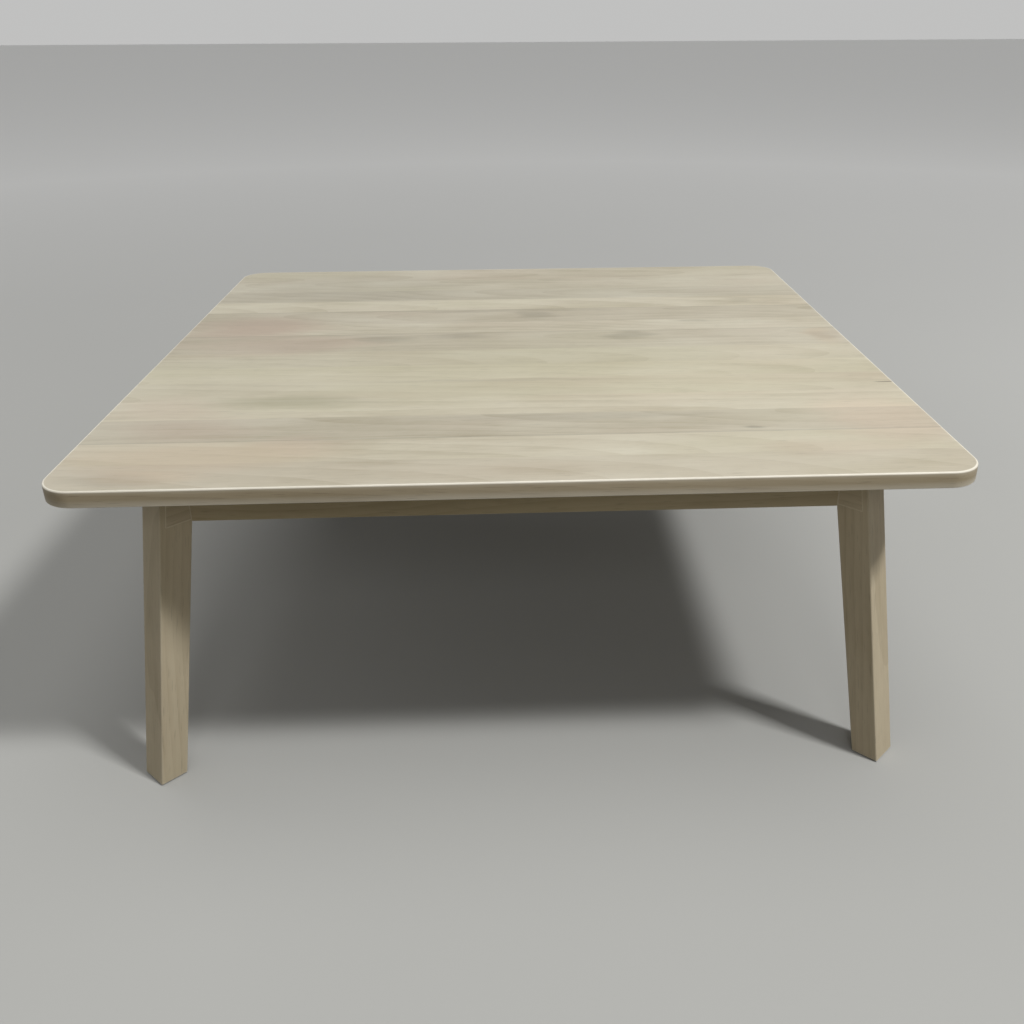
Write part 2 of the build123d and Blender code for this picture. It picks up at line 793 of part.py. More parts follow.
def lead_wires():
    leads = []
    rise = case_side / 2 - lead_gap
    y = tube_spacing / 2
    column = cell_place(terminal_cells - 1)
    for sx, sy in four_ways(1, 1):
        leads.append(lead((sx * cap_end, sy * y, tube_level), (sx * rise, sy * y, tube_level),
                          (sx * rise, sy * y, wiring_level), (sx * column, sy * y, wiring_level),
                          (sx * column, sy * terminal_width / 2, wiring_level)))
    x = pin_spread / 2
    tail = case_side / 2 - pin_tail
    lug_end = thermostat_diameter / 2 + lug_length
    for way, near, far in ((1, thermostat_place + lug_end, thermostat_place - lug_end),
                           (-1, fuse_place + fuse_length / 2, fuse_place - fuse_length / 2)):
        leads.append(lead((way * x, tail, inlet_level), (way * x, tail - 2 * lead_bend, inlet_level),
                          (way * x, tail - 2 * lead_bend, wiring_level), (way * x, near, wiring_level)))
        straight = far - terminal_width / 2
        run = Pos(way * x, (far + terminal_width / 2) / 2, wiring_level) * Rot(90, 0, 0)
        leads.append(run * Cylinder(lead_diameter / 2, straight))
    return leads


# Writing --------------------------------------------------------------------

def main():
    os.makedirs("parts", exist_ok=True)
    nodes = {"tabletop_board": tabletop_board(), "slip_pads": slip_pads()}
    for index, name in enumerate(rail_names):
        nodes[name] = rail(index)
    for index, name in enumerate(corner_names):
        nodes["corner_block_" + name] = corner_block(index)
        nodes["leg_" + name] = leg(index)
    nodes["rail_dowels"] = [place * dowel() for place in dowel_places()]
    for name, piece in (("hanger_bolts", hanger_bolt()), ("leg_washers", leg_washer()),
                        ("leg_nuts", leg_nut()), ("foot_glides", foot_glide())):
        nodes[name] = [at_corner(piece, index) for index in range(4)]
    nodes["crossbar_left"] = crossbar(-1)
    nodes["crossbar_right"] = crossbar(1)
    nodes["bar_spacer_front"] = spacer(-1)
    nodes["bar_spacer_back"] = spacer(1)
    nodes["spacer_screws"] = [place * wood_screw(spacer_screw_length)
                              for place in spacer_screw_places()]
    nodes["heater_case"] = heater_case()
    nodes["heater_lid"] = heater_lid()
    nodes["lid_screws"] = [place * lid_screw() for place in lid_screw_places()]
    nodes["insulating_sheet"] = insulating_sheet()
    nodes["heater_mount_screws"] = [place * ear_screw() for place in ear_screw_places()]
    nodes["heater_reflector"] = heater_reflector()
    nodes["quartz_tubes"] = quartz_tubes()
    nodes["heating_coils"] = heating_coils()
    nodes["tube_end_caps"] = tube_end_caps()
    nodes["tube_holders"] = tube_holders()
    nodes["holder_rivets"] = [place * rivet() for place in rivet_places()]
    nodes["guard_grille"] = guard_grille()
    nodes["guard_screws"] = [place * guard_screw() for place in guard_screw_places()]
    nodes["guard_nuts"] = [place * guard_nut() for place in guard_screw_places()]
    nodes["inlet_housing"] = inlet_housing()
    nodes["inlet_pins"] = inlet_pins()
    nodes["terminal_block"] = terminal_block()
    nodes["terminal_screws"] = [place * terminal_screw() for place in terminal_screw_places()]
    nodes["thermostat"] = thermostat()
    nodes["thermal_fuse"] = thermal_fuse()
    nodes["lead_wires"] = lead_wires()
    for name, shape in nodes.items():
        if isinstance(shape, list):
            shape = Compound(children=shape)
        export_step(shape, "parts/" + name + ".step")


main()
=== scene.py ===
"""Looks of the low kotatsu table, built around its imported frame. Metres, +Z up, front towards -Y."""
import json
import math
from collections import namedtuple

import bpy
from mathutils import Matrix, Vector

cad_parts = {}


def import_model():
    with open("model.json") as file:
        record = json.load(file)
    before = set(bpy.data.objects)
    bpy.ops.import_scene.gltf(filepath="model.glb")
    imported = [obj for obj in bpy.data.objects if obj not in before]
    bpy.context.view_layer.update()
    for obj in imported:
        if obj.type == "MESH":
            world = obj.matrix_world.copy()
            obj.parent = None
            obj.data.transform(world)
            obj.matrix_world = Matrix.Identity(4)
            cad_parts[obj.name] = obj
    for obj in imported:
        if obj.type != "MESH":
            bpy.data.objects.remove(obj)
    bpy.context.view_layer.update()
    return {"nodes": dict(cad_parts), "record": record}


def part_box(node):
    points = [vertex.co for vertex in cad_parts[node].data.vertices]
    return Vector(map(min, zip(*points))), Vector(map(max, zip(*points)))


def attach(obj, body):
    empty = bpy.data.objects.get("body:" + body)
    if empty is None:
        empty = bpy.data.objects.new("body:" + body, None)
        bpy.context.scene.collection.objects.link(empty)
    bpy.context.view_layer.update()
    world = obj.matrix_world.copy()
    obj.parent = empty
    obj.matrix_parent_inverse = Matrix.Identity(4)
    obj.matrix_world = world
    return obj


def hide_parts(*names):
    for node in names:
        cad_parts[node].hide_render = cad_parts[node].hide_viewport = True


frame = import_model()

MM = 0.001
UP = Vector((0, 0, 1))

# Sizes from the frame ---------------------------------------------------------

BOARD_LOW, BOARD_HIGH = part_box("tabletop_board")
BOARD_SIDE = BOARD_HIGH.y - BOARD_LOW.y
BOARD_MIDDLE = (BOARD_LOW.z + BOARD_HIGH.z) / 2
TUBES_LOW, TUBES_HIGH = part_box("quartz_tubes")
TUBE_WIDTH = TUBES_HIGH.z - TUBES_LOW.z
TUBE_LINE = (TUBES_HIGH.y - TUBES_LOW.y - TUBE_WIDTH) / 2   # from Y = 0 to each tube's axis

# Sizes that the looks share with the solids -----------------------------------

LEG_LEAN = math.radians(9.9)
CORNERS = {"back_right": 45, "back_left": 135, "front_left": 225, "front_right": 315}   # degrees from +X
BOARD_CORNER = 35 * MM
BOARD_UPPER_ARRIS = 1.6 * MM
BOARD_LOWER_ARRIS = 1.2 * MM
COIL_INSET = 6.0 * MM       # from the tube's end to the coil's
GLIDE_DEPTH = 25.0 * MM
GLIDE_WIDTH = 30.0 * MM
GLIDE_CORNER = 3.0 * MM
BOLT_RADIUS = 4.0 * MM

# Fine forms -------------------------------------------------------------------

LOWER_ARRIS_STEPS = 5
UPPER_ARRIS_STEPS = 8
BOARD_CORNER_STEPS = 24
WIRE_RADIUS = 0.35 * MM
PIN_RADIUS = 0.9 * MM
COIL_PITCH = 1.7 * MM
COIL_STEPS = 18             # points in each turn
THREAD_PITCH = 1.25 * MM
THREAD_DEPTH = 0.65 * MM
THREAD_LENGTH = 24 * MM
THREAD_STEPS = 24           # points round the bolt
THREAD_ROWS = 8             # rows of points in each pitch
BOLT_CHAMFER = 1.0 * MM
BOLT_POINT = 0.8 * MM       # height of the chamfer at the bolt's lower end
SLAB_EDGE_STEPS = 4
SLAB_CORNER_STEPS = 8
GLIDE_SOFTNESS = 0.6 * MM
PAD_SOFTNESS = 0.5 * MM
FELT_STEPS = 72             # squares along each side of the insulating felt
FELT_FRAY = 0.5 * MM
FELT_MARGIN = 1.2 * MM      # what the frayed side is shorter than the solid's
FELT_SOFT_RIM = 2.5 * MM

# Wood: colours ----------------------------------------------------------------

WOOD_SHADES = (
    (0.20, (0.345, 0.302, 0.208)),
    (0.50, (0.500, 0.456, 0.352)),
    (0.80, (0.600, 0.565, 0.455)),
)
PINK_WOOD = (0.480, 0.385, 0.298)
OCHRE_WOOD = (0.535, 0.428, 0.300)
GREEN_WOOD = (0.450, 0.422, 0.285)
# Pale arris colour: partly wood rubbed raw, partly a painted highlight.
BARE_AND_HIGHLIT_ARRIS = (0.930, 0.890, 0.775)
LEG_TINT = (1.06, 0.99, 0.90)
# Painted shade: the rails, bars and dowels are darker and warmer, for the shade under the board.
RAIL_SHADE_TINT = (0.90, 0.82, 0.685)
# Painted shade: a darker, warmer tint on the board's side faces.
EDGE_SHADE_TINT = (0.80, 0.735, 0.645)
BOARD_WEAR_AND_HIGHLIGHT = 0.7            # how pale the arrises are, up to 1: partly rubbed wear, partly a painted highlight
LEG_WEAR_AND_HIGHLIGHT = 0.7
RAIL_WEAR_AND_HIGHLIGHT = 0.35
BLOCK_WEAR_AND_HIGHLIGHT = 0.1
DOWEL_WEAR_AND_HIGHLIGHT = 0.7
ARRIS = 1.6 * MM
RIM_FULLY_PALE = 1.4 * MM         # from the board's outline, fully pale
RIM_FADED = 2.4 * MM        # from the board's outline, no longer pale

# Wood: noise scales along, across and through the grain, per metre ------------

FIBRE_SCALE = (14.0, 320.0, 320.0)
STREAK_SCALE = (3.2, 50.0, 50.0)
BLOTCH_SCALE = (6.5, 17.0, 17.0)
CLOUD_SCALE = (3.0, 7.0, 7.0)
PORE_SCALE = (42.0, 1300.0, 900.0)
PATCH_SCALE = (3.0, 9.0, 9.0)
BEND_SCALE = (1.4, 3.0, 3.0)
RIPPLE_SCALE = (6.0, 26.0, 26.0)

# Wood: how much each layer of the figure moves the shade ----------------------

MIDDLE_SHADE = 0.53
RING_SHADE = -0.11
FIBRE_SWING = 0.20
STREAK_SWING = 0.22
BLOTCH_SWING = 0.50
CLOUD_SWING = 0.47

# Wood: growth rings about the log's heart -------------------------------------

RING_WIDTH = 9.0 * MM
HEART_DEPTH = 35 * MM
HEART_DEPTH_SPREAD = 60 * MM
HEART_SIDE_SPREAD = 70 * MM
HEART_LEAN = 0.15           # spread of the heart's slope along the board's staves
BEND_ACROSS = 110 * MM
BEND_THROUGH = -50 * MM
RIPPLE_ACROSS = 10 * MM

# The board's staves from the back to the front: width in mm, and tone and hue about 0.5. A hue above
# that is pinker and one below it greener.
STAVES = (
    (78, 0.50, 0.52), (72, 0.47, 0.50), (62, 0.30, 0.50), (62, 0.66, 0.50), (69, 0.38, 0.54),
    (54, 0.50, 0.50), (79, 0.36, 0.54), (64, 0.50, 0.38), (57, 0.62, 0.30), (61, 0.56, 0.40),
    (60, 0.60, 0.46), (66, 0.31, 0.52), (58, 0.52, 0.50), (58, 0.38, 0.57),
)
SEAM_WIDTH = 0.7 * MM
STAVE_SHUFFLE = 91.7            # turns a stave's place into a number of its own
STAVE_JUMP = (7.3, 3.1, 5.7)    # how far apart the staves' figures lie in the noise

# Marks in the board's figure, in mm: place, half length, half width and strength.
# Darker marks: most are stains and heartwood in the wood; the broad faint one over the back left is painted
# shade.
DARK_AND_SHADED_MARKS = (
    (-250, -215, 115, 34, 0.42), (30, 143, 32, 32, 0.45), (155, 32, 34, 26, 0.45),
    (-170, 28, 62, 24, 0.42), (-75, 38, 60, 16, 0.36), (272, 98, 36, 12, 0.36),
    (340, 214, 34, 18, 0.26), (-205, 262, 150, 32, 0.22), (60, -278, 190, 14, 0.26),
    (-30, -152, 170, 7, 0.28), (257, -322, 20, 5, 0.75), (430, 14, 34, 26, 0.30),
    (0, 171, 260, 7, 0.28), (-370, 90, 110, 70, 0.22), (-385, -422, 70, 26, 0.38),
    (-250, 330, 260, 130, 0.24), (-340, -372, 150, 40, 0.13), (-300, 5, 110, 40, 0.12),
)
PINK_MARKS = (
    (-355, 95, 120, 75, 0.85), (-290, 10, 150, 60, 0.60), (-390, -235, 80, 60, 0.35),
    (-345, -295, 110, 50, 0.45), (-225, -345, 80, 34, 0.40), (400, -300, 110, 110, 0.50),
    (330, -380, 110, 34, 0.30),
)
OCHRE_MARKS = ((-330, -370, 190, 50, 0.50), (-360, -415, 80, 30, 0.50), (425, 20, 30, 60, 0.35))
GREEN_MARKS = (
    (-250, -215, 110, 40, 0.55), (60, -60, 330, 90, 0.30), (-60, -180, 300, 60, 0.30),
    (200, -180, 240, 60, 0.25),
)
# Paler marks: the strong one at the right front is a paler patch in the wood; the two broad faint ones are
# painted light, a lighter wash over the right half of the board.
PALE_AND_LIT_MARKS = ((400, -290, 120, 60, 0.80), (180, -180, 320, 80, 0.22), (330, -40, 160, 120, 0.12))
CRACK = (441, -183, 17, 1.1, 1.0)
PALE_AND_LIT_GAIN = 1.16
DARK_AND_SHADED_GAIN = 0.60
MARK_DRIFT = (110 * MM, 30 * MM, 0.0)   # how far the noise pulls the marks' outlines about

# Other finishes: colours ------------------------------------------------------

STEEL = (0.70, 0.71, 0.71)
DULL_STEEL = (0.50, 0.49, 0.46)
BRASS = (0.78, 0.60, 0.30)
DULL_BRASS = (0.52, 0.38, 0.18)
HEATING_WIRE = (0.34, 0.32, 0.30)
BURNT_WIRE = (0.20, 0.19, 0.18)
PALE_ENAMEL = (0.74, 0.73, 0.69)
PALE_ENAMEL_CHIP = (0.34, 0.33, 0.31)
DARK_ENAMEL = (0.105, 0.098, 0.090)
DARK_ENAMEL_CHIP = (0.40, 0.39, 0.37)
ENAMEL_ARRIS = 0.8 * MM
HEATED_REACH = 34 * MM      # from a tube's axis, as far as the reflector is straw-coloured

# Stage: colours, levels and reach ---------------------------------------------

AMBIENT = (0.165, 0.165, 0.165)
BACKDROP = (0.53, 0.53, 0.525)
FLOOR_LEVEL = 0.2 * MM      # a hair above the glides' lower faces, which then show from below
FLOOR_REACH = 40.0
FLOOR_NEAR = 0.9            # from the origin to where the floor starts to grow paler
FLOOR_FAR = 5.0
FLOOR_SHADES = ((0.44, 0.44, 0.42), (0.48, 0.48, 0.46))
FAR_FLOOR = (0.80, 0.80, 0.785)
FLOOR_BOUNCE = (0.23, 0.215, 0.178)     # the floor's colour in the light that it throws back
LAMPS_AIM = (0, 0, 0.3)

# Camera: a lens of this focal length in pixels of a 1024 px frame -------------

FRAME_PIXELS = 1024
FOCAL_PIXELS = 1013.1
MIDDLE_COLUMN = 550
MIDDLE_ROW = 510
CAMERA_PLACE = (-6.5 * MM, -1315.0 * MM, 759.6 * MM)
CAMERA_PITCH = math.radians(25.85)
CAMERA_YAW = math.radians(2.38)
CAMERA_ROLL = math.radians(-0.31)
SENSOR_WIDTH = 36.0


# Node trees -------------------------------------------------------------------

class Tree:
    """The node tree of a material or a world. A value is a number, a tuple or another node's output."""

    def __init__(self, owner):
        owner.use_nodes = True
        self.owner = owner
        self.nodes = owner.node_tree.nodes
        self.links = owner.node_tree.links
        self.nodes.clear()

    def add(self, kind, values=None, **settings):
        node = self.nodes.new("ShaderNode" + kind)
        for key, value in settings.items():
            setattr(node, key, value)
        for key, value in (values or {}).items():
            self.feed(node.inputs[key], value)
        return node

    def feed(self, socket, value):
        if isinstance(value, bpy.types.NodeSocket):
            self.links.new(value, socket)
        elif isinstance(value, tuple) and len(value) == 3 and socket.type == "RGBA":
            socket.default_value = (*value, 1.0)
        else:
            socket.default_value = value

    def math(self, operation, a, b=0.0):
        return self.add("Math", {0: a, 1: b}, operation=operation).outputs[0]

    def vector(self, operation, a, b, output=0):
        return self.add("VectorMath", {0: a, 1: b}, operation=operation).outputs[output]

    def product(self, a, b):
        return self.math("MULTIPLY", a, b)

    def total(self, *terms):
        value = terms[0]
        for term in terms[1:]:
            value = self.math("ADD", value, term)
        return value

    def swing(self, value, amount):
        """A value from 0 to 1 as a swing of this amount about nought."""
        return self.product(self.math("SUBTRACT", value, 0.5), amount)

    def span(self, value, low, high, start=0.0, end=1.0, smooth=False):
        """Maps low..high to start..end, clamped."""
        kind = "SMOOTHSTEP" if smooth else "LINEAR"
        values = {"Value": value, "From Min": low, "From Max": high, "To Min": start, "To Max": end}
        return self.add("MapRange", values, interpolation_type=kind).outputs[0]

    def place(self, vector, scale=(1, 1, 1), shift=(0, 0, 0), turn=(0, 0, 0), kind="POINT"):
        values = {"Vector": vector, "Location": shift, "Rotation": turn, "Scale": scale}
        return self.add("Mapping", values, vector_type=kind).outputs[0]

    def noise(self, vector, scale, detail=2.0, roughness=0.5, shift=(0, 0, 0)):
        """Noise of this scale per metre, one number or one for each axis."""
        scales = scale if isinstance(scale, tuple) else (scale, scale, scale)
        values = {"Vector": self.place(vector, scales, shift), "Scale": 1.0, "Detail": detail,
                  "Roughness": roughness}
        return self.add("TexNoise", values).outputs["Fac"]

    def ramp(self, value, stops, interpolation="LINEAR"):
        node = self.add("ValToRGB", {0: value})
        ramp = node.color_ramp
        ramp.interpolation = interpolation
        while len(ramp.elements) > 1:
            ramp.elements.remove(ramp.elements[-1])
        ramp.elements[0].position = stops[0][0]
        ramp.elements[0].color = (*stops[0][1], 1.0)
        for position, colour in stops[1:]:
            ramp.elements.new(position).color = (*colour, 1.0)
        return node.outputs[0]

    def mix(self, share, a, b, kind="MIX"):
        node = self.add("Mix", data_type="RGBA", blend_type=kind)
        for index, value in ((0, share), (6, a), (7, b)):
            self.feed(node.inputs[index], value)
        return node.outputs[2]

    def times(self, colour, value):
        """A colour made lighter or darker by a value."""
        return self.add("VectorMath", {0: colour, "Scale": value}, operation="SCALE").outputs[0]

    def object_point(self):
        return self.add("TexCoord").outputs["Object"]

    def facing(self):
        return self.add("TexCoord").outputs["Normal"]

    def bump(self, height, strength, distance):
        values = {"Height": height, "Strength": strength, "Distance": distance}
        return self.add("Bump", values).outputs[0]

    def arris(self, radius):
        """1 on rounded edges, 0 on flat faces."""
        rounded = self.add("Bevel", {"Radius": radius}, samples=4).outputs[0]
        true = self.add("NewGeometry").outputs["True Normal"]
        return self.span(self.vector("DOT_PRODUCT", rounded, true, "Value"), 0.995, 0.90, smooth=True)

    def seen(self):
        """1 for a ray that the camera looks along, straight, mirrored or through glass, and 0 for others."""
        path = self.add("LightPath")
        direct = self.math("MAXIMUM", path.outputs["Is Camera Ray"], path.outputs["Is Glossy Ray"])
        return self.math("MAXIMUM", direct, path.outputs["Is Transmission Ray"])

    def surface(self, **values):
        """Ends the tree in a Principled shader."""
        shader = self.add("BsdfPrincipled", {key.replace("_", " "): value for key, value in values.items()})
        self.add("OutputMaterial", {"Surface": shader.outputs[0]})
        return self.owner


def material_tree(name):
    return Tree(bpy.data.materials.new(name))


# Wood -------------------------------------------------------------------------

# A point's place in its stave: its place in the noise, its distance across and up from the stave's middle,
# the stave's own number from 0 to 1, the slope of its heart there, its tone and hue, and 1 on its seams.
Stave = namedtuple("Stave", "point across up own lean tone hue seam")

Figure = namedtuple("Figure", "rings fibres streaks blotches clouds pores patches")


def stave_stops():
    """A colour stop for each stave, from the front edge to the back: tone, hue and middle."""
    total = sum(width for width, _, _ in STAVES)
    stops = []
    position = 0.0
    for width, tone, hue in reversed(STAVES):
        share = width / total
        stops.append((position, (tone, hue, position + share / 2)))
        position += share
    return stops


def seam_stops():
    """White on the glue lines between staves."""
    half = SEAM_WIDTH / BOARD_SIDE / 2
    stops = [(0.0, (0, 0, 0))]
    for position, _ in stave_stops()[1:]:
        stops.append((position - half, (1, 1, 1)))
        stops.append((position + half, (0, 0, 0)))
    return stops


def board_stave(tree, here):
    """The stave of the board that a point lies in."""
    split = tree.add("SeparateXYZ", {0: here})
    share = tree.math("ADD", tree.math("DIVIDE", split.outputs["Y"], BOARD_SIDE), 0.5)
    tone, hue, middle = tree.add("SeparateColor", {0: tree.ramp(share, stave_stops(), "CONSTANT")}).outputs
    own = tree.math("FRACT", tree.product(middle, STAVE_SHUFFLE))
    jump = tree.add("CombineXYZ", {axis: tree.product(own, far) for axis, far in enumerate(STAVE_JUMP)})
    return Stave(
        point=tree.vector("ADD", here, jump.outputs[0]),
        across=tree.product(tree.math("SUBTRACT", share, middle), BOARD_SIDE),
        up=tree.math("SUBTRACT", split.outputs["Z"], BOARD_MIDDLE),
        own=own,
        lean=tree.product(split.outputs["X"], tree.swing(own, HEART_LEAN)),
        tone=tone,
        hue=hue,
        seam=tree.ramp(share, seam_stops(), "CONSTANT"),
    )


def whole_stave(tree, here, shift):
    """A piece cut from one stave, with its figure taken from this place in the noise."""
    split = tree.add("SeparateXYZ", {0: here})
    return Stave(
        point=tree.place(here, shift=shift),
        across=split.outputs["Y"],
        up=split.outputs["Z"],
        own=0.5 + 0.5 * math.sin(11 * sum(shift)),
        lean=0.0,
        tone=0.5,
        hue=0.5,
        seam=0.0,
    )


def growth_rings(tree, stave):
    """Distance from the log's heart, bent along the grain, as soft rings with a sharp late-wood side."""
    bend = tree.noise(stave.point, BEND_SCALE, detail=1.5)
    ripple = tree.noise(stave.point, RIPPLE_SCALE, detail=2.0)
    side = tree.total(stave.across, tree.swing(stave.own, HEART_SIDE_SPREAD), tree.swing(bend, BEND_ACROSS),
                      tree.swing(ripple, RIPPLE_ACROSS))
    depth = tree.total(stave.up, HEART_DEPTH, tree.product(stave.own, HEART_DEPTH_SPREAD),
                       tree.swing(bend, BEND_THROUGH), stave.lean)
    squares = tree.total(tree.product(side, side), tree.product(depth, depth))
    rings = tree.product(tree.math("SQRT", squares), 1 / RING_WIDTH)
    return tree.math("POWER", tree.math("FRACT", rings), 2.0)


def wood_figure(tree, stave, here):
    """The layers of the wood's figure, each from 0 to 1. Clouds run on from stave to stave."""
    return Figure(
        rings=growth_rings(tree, stave),
        fibres=tree.noise(stave.point, FIBRE_SCALE, detail=4.0, roughness=0.7),
        streaks=tree.noise(stave.point, STREAK_SCALE, detail=3.0, roughness=0.6),
        blotches=tree.noise(stave.point, BLOTCH_SCALE, detail=4.0, roughness=0.6),
        clouds=tree.noise(here, CLOUD_SCALE, detail=2.0),
        pores=tree.span(tree.noise(stave.point, PORE_SCALE, detail=1.0), 0.64, 0.72),
        patches=tree.noise(stave.point, PATCH_SCALE, detail=2.0, shift=(4.1, 2.7, 1.9)),
    )


def wood_colour(tree, stave, figure):
    """Bleached wood in the figure's shade, with pinker and greener patches."""
    shade = tree.total(
        MIDDLE_SHADE,
        tree.product(figure.rings, RING_SHADE),
        tree.swing(figure.fibres, FIBRE_SWING),
        tree.swing(figure.streaks, STREAK_SWING),
        tree.swing(figure.blotches, BLOTCH_SWING),
        tree.swing(figure.clouds, CLOUD_SWING),
    )
    colour = tree.ramp(shade, WOOD_SHADES)
    pink = tree.total(tree.span(stave.hue, 0.5, 1.0), tree.span(figure.patches, 0.54, 0.78, 0.0, 0.50))
    green = tree.total(tree.span(stave.hue, 0.5, 0.0), tree.span(figure.patches, 0.46, 0.22, 0.0, 0.50))
    colour = tree.mix(tree.product(pink, 0.8), colour, PINK_WOOD)
    return tree.mix(tree.product(green, 0.7), colour, GREEN_WOOD)


def dark_lines(tree, stave, figure):
    """Pores and seams, as the share of light that they take."""
    return tree.total(tree.product(figure.pores, 0.20), tree.product(stave.seam, 0.10))


def shaded(tree, colour, stave, lines, direction):
    """The colour in the stave's tone, with its dark lines, and darker on its end grain."""
    colour = tree.times(colour, tree.span(stave.tone, 0.0, 1.0, 0.79, 1.27))
    colour = tree.times(colour, tree.math("SUBTRACT", 1.0, lines))
    along = tree.vector("DOT_PRODUCT", tree.facing(), tuple(Vector(direction).normalized()), "Value")
    end_grain = tree.span(tree.math("ABSOLUTE", along), 0.70, 0.92, smooth=True)
    return tree.times(colour, tree.span(end_grain, 0.0, 1.0, 1.0, 0.80))


def lacquered(tree, colour, bare_and_highlit, lines, figure):
    """Ends a wood's tree: pale arrises, partly rubbed wear and partly a painted highlight, and fine relief
    under a satin lacquer.
    """
    colour = tree.mix(bare_and_highlit, colour, BARE_AND_HIGHLIT_ARRIS)
    height = tree.total(tree.product(figure.fibres, 0.6), tree.product(figure.rings, 0.25),
                        tree.product(lines, -3.0))
    roughness = tree.span(figure.fibres, 0.2, 0.8, 0.56, 0.44)
    return tree.surface(Base_Color=colour, Roughness=roughness, Specular_IOR_Level=0.38,
                        Normal=tree.bump(height, 0.35, 0.25 * MM))


def wood(name, direction, shift, tint, worn):
    """The wood of one leg, rail or block, with its grain along the direction."""
    tree = material_tree(name)
    turn = tuple(Vector(direction).rotation_difference(Vector((1, 0, 0))).to_euler())
    here = tree.place(tree.object_point(), turn=turn)
    stave = whole_stave(tree, here, shift)
    figure = wood_figure(tree, stave, here)
    lines = dark_lines(tree, stave, figure)
    colour = shaded(tree, wood_colour(tree, stave, figure), stave, lines, direction)
    colour = tree.mix(1.0, colour, tint, "MULTIPLY")
    # worn sets the pale arris share: partly wear, partly a painted highlight.
    return lacquered(tree, colour, tree.product(tree.arris(ARRIS), worn), lines, figure)


def marks(tree, vector, places, sharp=False):
    """Soft-edged ellipses on the board, the strongest at each point."""
    value = 0.0
    for x, y, length, width, strength in places:
        spot = tree.place(vector, (length * MM, width * MM, 1.0), (x * MM, y * MM, 0.0), kind="TEXTURE")
        spot = tree.place(spot, (1, 1, 0))
        inside = tree.add("TexGradient", {0: spot}, gradient_type="SPHERICAL").outputs["Fac"]
        inside = tree.span(inside, 0.0, 0.3 if sharp else 0.75, smooth=not sharp)
        value = tree.math("MAXIMUM", value, tree.product(inside, strength))
    return value


def board_marks(tree, here, colour):
    """The board's marks: heartwood, mineral stain and pinkish sapwood, paler marks that are partly painted
    light, and darker marks that are partly painted shade.
    """
    drift = tree.add("TexNoise", {"Vector": tree.place(here, (8, 26, 8)), "Scale": 1.0, "Detail": 3.0})
    drift = tree.place(drift.outputs["Color"], MARK_DRIFT, tuple(-reach / 2 for reach in MARK_DRIFT))
    bent = tree.vector("ADD", here, drift)
    colour = tree.mix(marks(tree, bent, PINK_MARKS), colour, PINK_WOOD)
    colour = tree.mix(marks(tree, bent, OCHRE_MARKS), colour, OCHRE_WOOD)
    colour = tree.mix(marks(tree, bent, GREEN_MARKS), colour, GREEN_WOOD)
    # Painted light: the broad faint pale marks lighten the board where light falls more.
    colour = tree.times(colour, tree.span(marks(tree, bent, PALE_AND_LIT_MARKS), 0, 1, 1.0, PALE_AND_LIT_GAIN))
    # Painted shade as well as stains: the broad dark mark at the back left darkens the board as shade would.
    return tree.times(colour, tree.span(marks(tree, bent, DARK_AND_SHADED_MARKS), 0, 1, 1.0, DARK_AND_SHADED_GAIN))


def from_outline(tree, here):
    """How far inside the board's outline a point lies, in plan."""
    split = tree.add("SeparateXYZ", {0: here})
    straight = BOARD_SIDE / 2 - BOARD_CORNER
    past = []
    for axis in ("X", "Y"):
        past.append(tree.math("SUBTRACT", tree.math("ABSOLUTE", split.outputs[axis]), straight))
    squares = [tree.math("POWER", tree.math("MAXIMUM", value, 0.0), 2.0) for value in past]
    within = tree.math("MINIMUM", tree.math("MAXIMUM", *past), 0.0)
    reach = tree.total(tree.math("SQRT", tree.total(*squares)), within)
    return tree.math("SUBTRACT", BOARD_CORNER, reach)


def rubbed_and_highlit_rim(tree, here, upward, figure):
    """1 on the board's rounded arrises and along its upper rim: partly rubbed wear, partly a painted
    highlight.
    """
    rise = tree.math("ABSOLUTE", upward)
    rounded = tree.span(tree.product(rise, tree.math("SUBTRACT", 1.0, rise)), 0.02, 0.12)
    rim = tree.span(from_outline(tree, here), RIM_FADED, RIM_FULLY_PALE)
    rim = tree.product(rim, tree.span(upward, 0.5, 0.9))
    patchy = tree.span(figure.blotches, 0.30, 0.55, 0.72, 1.0)
    return tree.product(tree.math("MAXIMUM", rounded, rim), patchy)


def board_wood():
    """The board's wood: staves glued side by side, marks of its own, painted shade on its side faces, and a
    pale rim that is partly rubbed wear and partly a painted highlight.
    """
    tree = material_tree("top_wood")
    here = tree.object_point()
    stave = board_stave(tree, here)
    figure = wood_figure(tree, stave, here)
    crack = tree.product(marks(tree, here, (CRACK,), sharp=True), 0.75)
    lines = tree.total(dark_lines(tree, stave, figure), crack)
    colour = board_marks(tree, here, wood_colour(tree, stave, figure))
    colour = shaded(tree, colour, stave, lines, (1, 0, 0))
    upward = tree.add("SeparateXYZ", {0: tree.facing()}).outputs["Z"]
    # Painted shade: faces that face neither up nor down take the darker, warmer edge tint.
    edge = tree.span(tree.math("ABSOLUTE", upward), 0.9, 0.3)
    colour = tree.mix(edge, colour, tree.mix(1.0, colour, EDGE_SHADE_TINT, "MULTIPLY"))
    bare_and_highlit = tree.product(rubbed_and_highlit_rim(tree, here, upward, figure), BOARD_WEAR_AND_HIGHLIGHT)
    return lacquered(tree, colour, bare_and_highlit, lines, figure)


# Metals, glass and the rest ---------------------------------------------------

